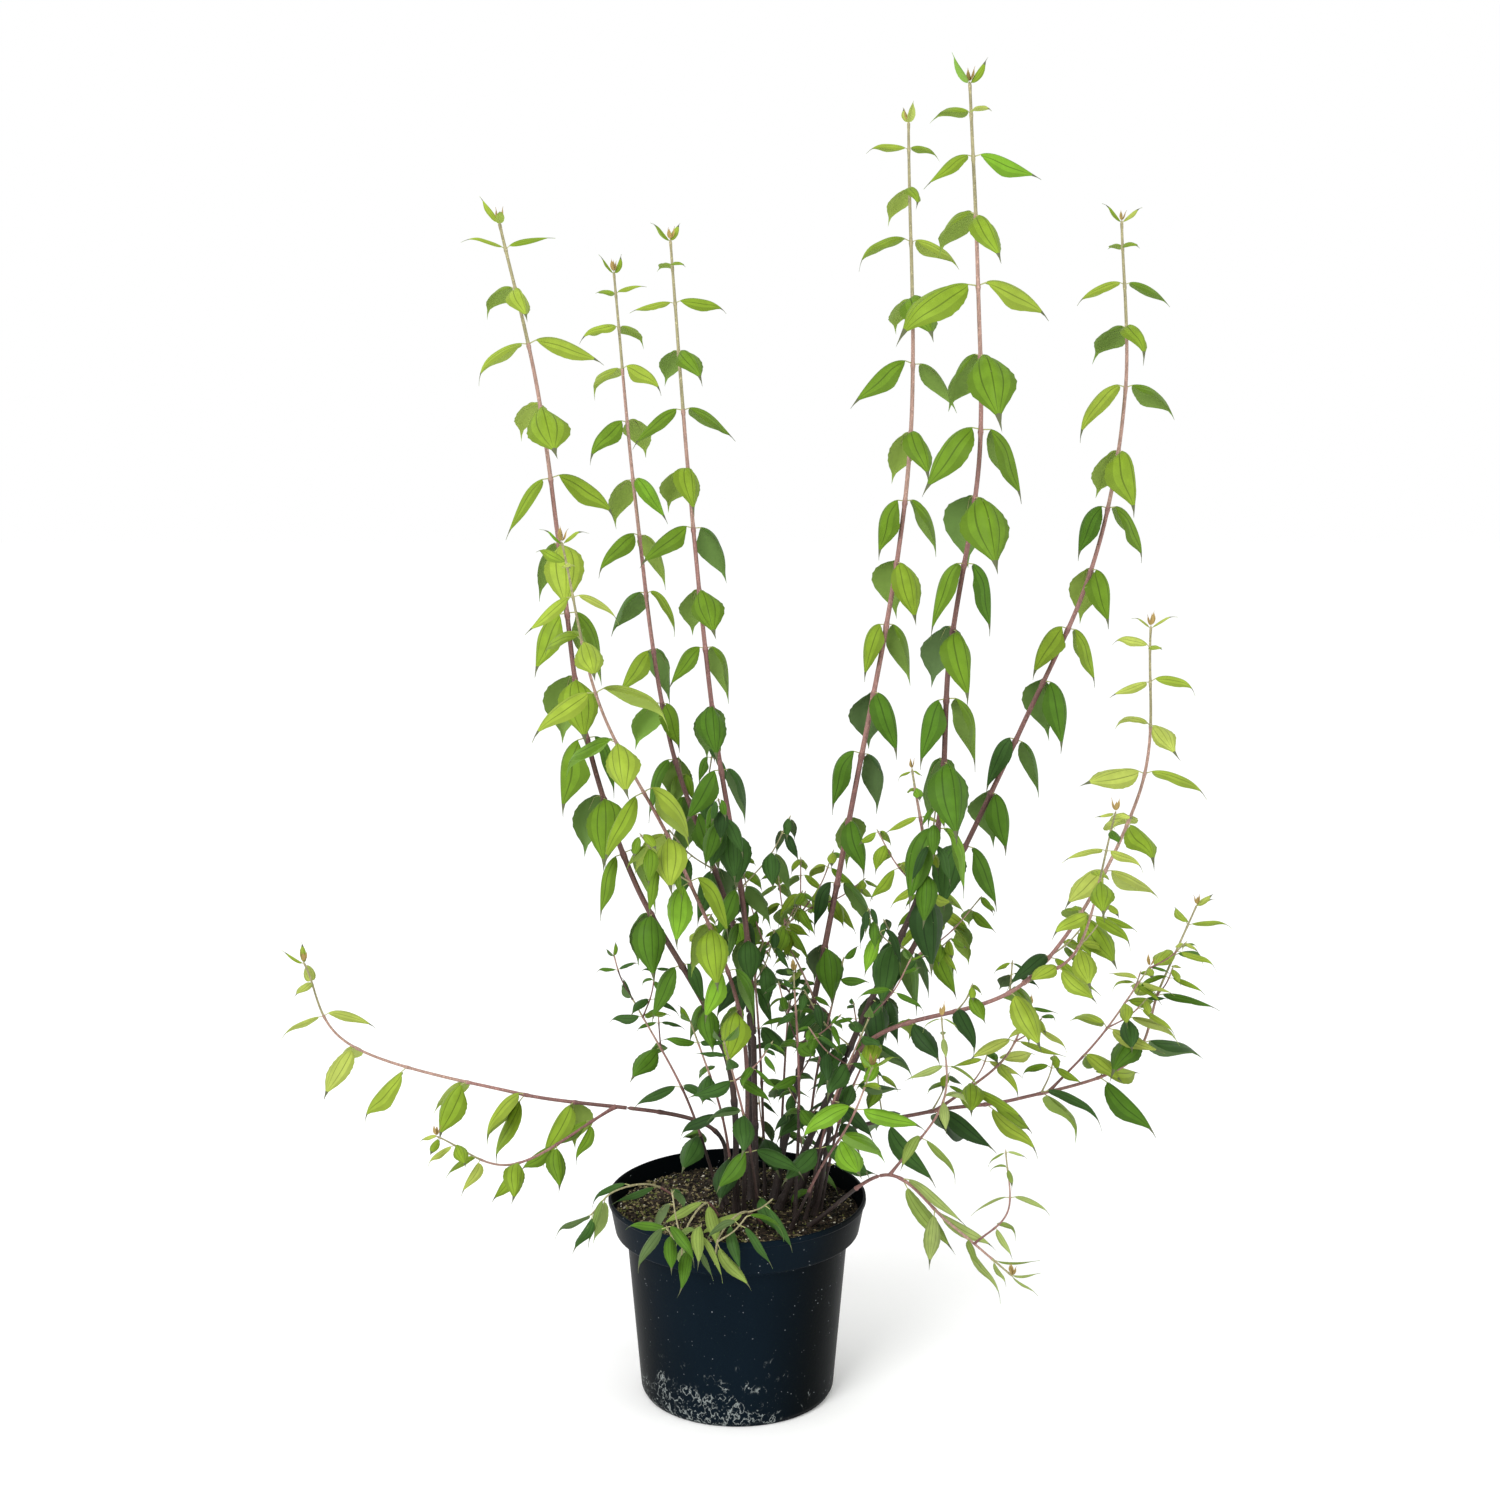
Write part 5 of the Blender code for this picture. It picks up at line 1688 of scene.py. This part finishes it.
# %% A peat's surface
def peat_look(name, colour, dark):
    """Peat: one brown broken up by fine crumbs, darkened to a share of it."""
    look = Look(name, colour, PEAT_ROUGHNESS, Specular_IOR_Level=PEAT_GLOSS)
    crumb = look.grain(PEAT_GRAIN, 5.0)
    look.set("Base Color", look.mix(look.step(crumb, *PEAT_EDGE), deeper(colour, dark), colour))
    look.set("Roughness", PEAT_ROUGHNESS + PEAT_STRAY * crumb)
    look.bump(crumb, PEAT_RELIEF)
    return look.material


# %% Turn the compost and break its top up
def compost_piece():
    """The compost, in the place of the plain one: its top broken up, its sides clear of the wall."""
    edge = COMPOST_TOP - COMPOST_EDGE_DROP
    wall = [(r - CLEAR, max(z, FLOOR_THICKNESS + CLEAR)) for r, z in inside_profile()[:-1]]
    (low_r, low_z), (top_r, top_z) = inside_profile()[-2:]
    edge_radius = low_r + (edge - low_z) / (top_z - low_z) * (top_r - low_r) - CLEAR
    radii = np.linspace(0.0, edge_radius, SURFACE_RINGS)
    drop = np.clip((radii - COMPOST_LEVEL_RADIUS) / (edge_radius - COMPOST_LEVEL_RADIUS), 0, 1)
    top = list(zip(radii, COMPOST_TOP - COMPOST_EDGE_DROP * drop))
    profile = [*top, *wall[::-1], (0.0, FLOOR_THICKNESS + CLEAR)]
    body = applied(turned("compost_bed", profile, SURFACE_STEPS, peat_look("peat", PEAT, BED_SHADOW)))
    for vertex in body.data.vertices:
        if vertex.co.z > edge - SURFACE_ROUGH and vertex.co.xy.length < edge_radius - SURFACE_RIM:
            small = noise.noise(vertex.co * FINE_LUMPS) * FINE_SHARE + noise.noise(vertex.co * BROAD_LUMPS)
            vertex.co.z += SURFACE_ROUGH * small * LUMP_HEIGHT
    body.data.shade_smooth()
    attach(body, "root")
    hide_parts("compost")
    print(f"compost: {len(body.data.polygons)} faces")


compost_piece()

# %% Crumbs, grit and fibres
CRUMBS = 7600
CRUMB_SIZE = (0.0006, 0.0022)
CRUMB_FORM = ((0.6, 1.3), (0.5, 1.0), (0.4, 0.8))
CRUMB_STRAY = 0.2
CRUMB_TILTS = (0.5, 0.3)
CRUMB_RISE = (-0.1, 0.5)
CRUMB_SHADOW = 0.65
GRIT_SIZE = 0.75
FIBRES = 420
FIBRE_LENGTH = (0.004, 0.012)
FIBRE_RADIUS = 0.0003
TAN_FIBRES = 0.7
CRUMB_SEED = 9
CRUMB_LIMIT = 0.1045
CRUMB_CREASE = 20
# The side where more tan and moss lie: partly real, partly a painted pool of light.
MOSS_AND_LIGHT_SIDE = (-0.85, -0.35, 0.0)
PATCH_SIZE = 0.016
PATCH_CONTRAST = 1.6
LEAST_PALE = 0.1
PEATS = {
    "dark peat": (0.010, 0.009, 0.006),
    "brown peat": (0.040, 0.030, 0.016),
    "tan fibre": (0.290, 0.240, 0.120),
    "pale grit": (0.70, 0.66, 0.54),
    "moss": (0.150, 0.165, 0.045),
}
BROWN, TAN, GRIT = 1, 2, 3
PEAT_SHARES = (0.52, 0.24)
# Extra tan at the left: partly real, partly a painted pool of light.
TAN_SHARE, TAN_AND_LIGHT_AT_LEFT = 0.09, 0.30
GRIT_SHARE = 0.06
# Extra moss at the left: partly real, partly a painted pool of light.
MOSS_SHARE, MOSS_AND_LIGHT_AT_LEFT = 0.04, 0.38
peat_looks = [peat_look(name, colour, CRUMB_SHADOW) for name, colour in PEATS.items()]
print(f"{len(peat_looks)} peat materials")

# %% One lump, as an octahedron
LUMP = np.array([(1, 0, 0), (-1, 0, 0), (0, 1, 0), (0, -1, 0), (0, 0, 1), (0, 0, -1)], float)
octants = [(a, b, c) for a in (0, 1) for b in (2, 3) for c in (4, 5)]
LUMP_FACES = np.array([(a, b, c) if (a + b + c) % 2 == 0 else (b, a, c) for a, b, c in octants])


# %% Strew the crumbs
def bed_height(radius):
    """The compost's level at a distance from the pot's middle."""
    drop = max(0.0, radius - COMPOST_LEVEL_RADIUS) / (RIM_RADIUS - COMPOST_LEVEL_RADIUS)
    return COMPOST_TOP - COMPOST_EDGE_DROP * drop


def crumb_tone(x, y, draw):
    """Which peat colour a crumb takes. Pale ones lie in patches. Tan and moss are likelier at the
    left, partly real and partly a painted pool of light.
    """
    # Towards the left: more tan and moss, partly real and partly a painted pool of light.
    mossy_and_lit = max(0.0, (x * MOSS_AND_LIGHT_SIDE[0] + y * MOSS_AND_LIGHT_SIDE[1]) / RIM_RADIUS)
    patch = noise.noise((x / PATCH_SIZE, y / PATCH_SIZE, 0.0))
    pale = max(LEAST_PALE, 1.0 + PATCH_CONTRAST * patch)
    tan, moss = TAN_SHARE + TAN_AND_LIGHT_AT_LEFT * mossy_and_lit, MOSS_SHARE + MOSS_AND_LIGHT_AT_LEFT * mossy_and_lit
    return draw.choices(range(len(PEATS)), (*PEAT_SHARES, tan * pale, GRIT_SHARE * pale, moss * pale))[0]


def crumbs_piece():
    """All the loose crumbs and fibres on the compost, as one piece."""
    heap, draw = Heap(), random.Random(CRUMB_SEED)
    for i in range(CRUMBS + FIBRES):
        turn, radius = draw.uniform(0, 2 * math.pi), CRUMB_LIMIT * math.sqrt(draw.random())
        x, y = radius * math.cos(turn), radius * math.sin(turn)
        tone = crumb_tone(x, y, draw)
        size = draw.uniform(*CRUMB_SIZE) * (GRIT_SIZE if tone == GRIT else 1.0)
        form = LUMP * [size * draw.uniform(*spread) for spread in CRUMB_FORM]
        if i >= CRUMBS:
            tone = TAN if draw.random() < TAN_FIBRES else BROWN
            form = LUMP * [draw.uniform(*FIBRE_LENGTH) / 2, FIBRE_RADIUS, FIBRE_RADIUS]
        stray = np.array([draw.uniform(-CRUMB_STRAY, CRUMB_STRAY) * size for _ in range(LUMP.size)])
        form = form + stray.reshape(LUMP.shape)
        leans = [draw.uniform(-most, most) for most in CRUMB_TILTS]
        tilt = Matrix.Rotation(leans[0], 3, "X") @ Matrix.Rotation(leans[1], 3, "Y")
        spin = np.array(Matrix.Rotation(draw.uniform(0, RADIANS_ROUND), 3, "Z") @ tilt)
        centre = np.array((x, y, bed_height(radius) + size * draw.uniform(*CRUMB_RISE)))
        heap.add(form @ spin.T + centre, LUMP_FACES, tone)
    heap.piece("compost_crumbs", peat_looks, "compost", (), sharp=CRUMB_CREASE)


crumbs_piece()

# %% [markdown]
# ## Camera, light and floor
# The photograph was taken from the front, a little above the plant, with a long lens, and the plant stands
# in soft even light. Three strong lamps could light it, but they would make hard shadows among the leaves.
# A white surround does most of the work, with a large key panel at the front left and a weak fill at the
# right.

# %% Camera
CAMERA_PLACE = (0.0112, -2.15, 1.022)
CAMERA_PITCH = 11.7
FOCAL_LENGTH = 62.4
SENSOR = 36.0
camera_data = bpy.data.cameras.new("camera")
camera_data.lens, camera_data.sensor_width = FOCAL_LENGTH, SENSOR
camera_data.clip_start = 0.01
camera = stood("camera", camera_data)
camera.location = CAMERA_PLACE
camera.rotation_euler = (math.radians(90 - CAMERA_PITCH), 0.0, 0.0)
bpy.context.scene.camera = camera

# %% Floor
FLOOR_HALF = 6.0
floor_mesh = bpy.data.meshes.new("floor")
corners = [(x * FLOOR_HALF, y * FLOOR_HALF, 0) for x, y in ((-1, -1), (1, -1), (1, 1), (-1, 1))]
floor_mesh.from_pydata(corners, [], [(0, 1, 2, 3)])
floor_mesh.materials.append(Look("pale floor", (1.0, 1.0, 1.0), 1.0, Specular_IOR_Level=0.0).material)
floor = stood("floor", floor_mesh)

# %% Light
bpy.context.scene.view_settings.view_transform = "Standard"
world = bpy.data.worlds.new("studio")
world.use_nodes = True
surround = world.node_tree.nodes["Background"]
surround.inputs["Color"].default_value = (1.0, 1.0, 1.0, 1.0)
surround.inputs["Strength"].default_value = 1.0
bpy.context.scene.world = world
LIGHT_AIM = Vector((0.0, 0.0, 0.5))


def panel(name, place, size, power):
    """A soft square light, aimed at the middle of the plant."""
    data = bpy.data.lights.new(name, "AREA")
    data.size, data.energy = size, power
    made = stood(name, data)
    made.location = place
    made.rotation_euler = (LIGHT_AIM - Vector(place)).to_track_quat("-Z", "Y").to_euler()


panel("key", (-1.1, -2.2, 2.4), 1.3, 60.0)
panel("fill", (2.2, -1.2, 1.6), 1.6, 12.0)
print("camera, floor and light are in place")
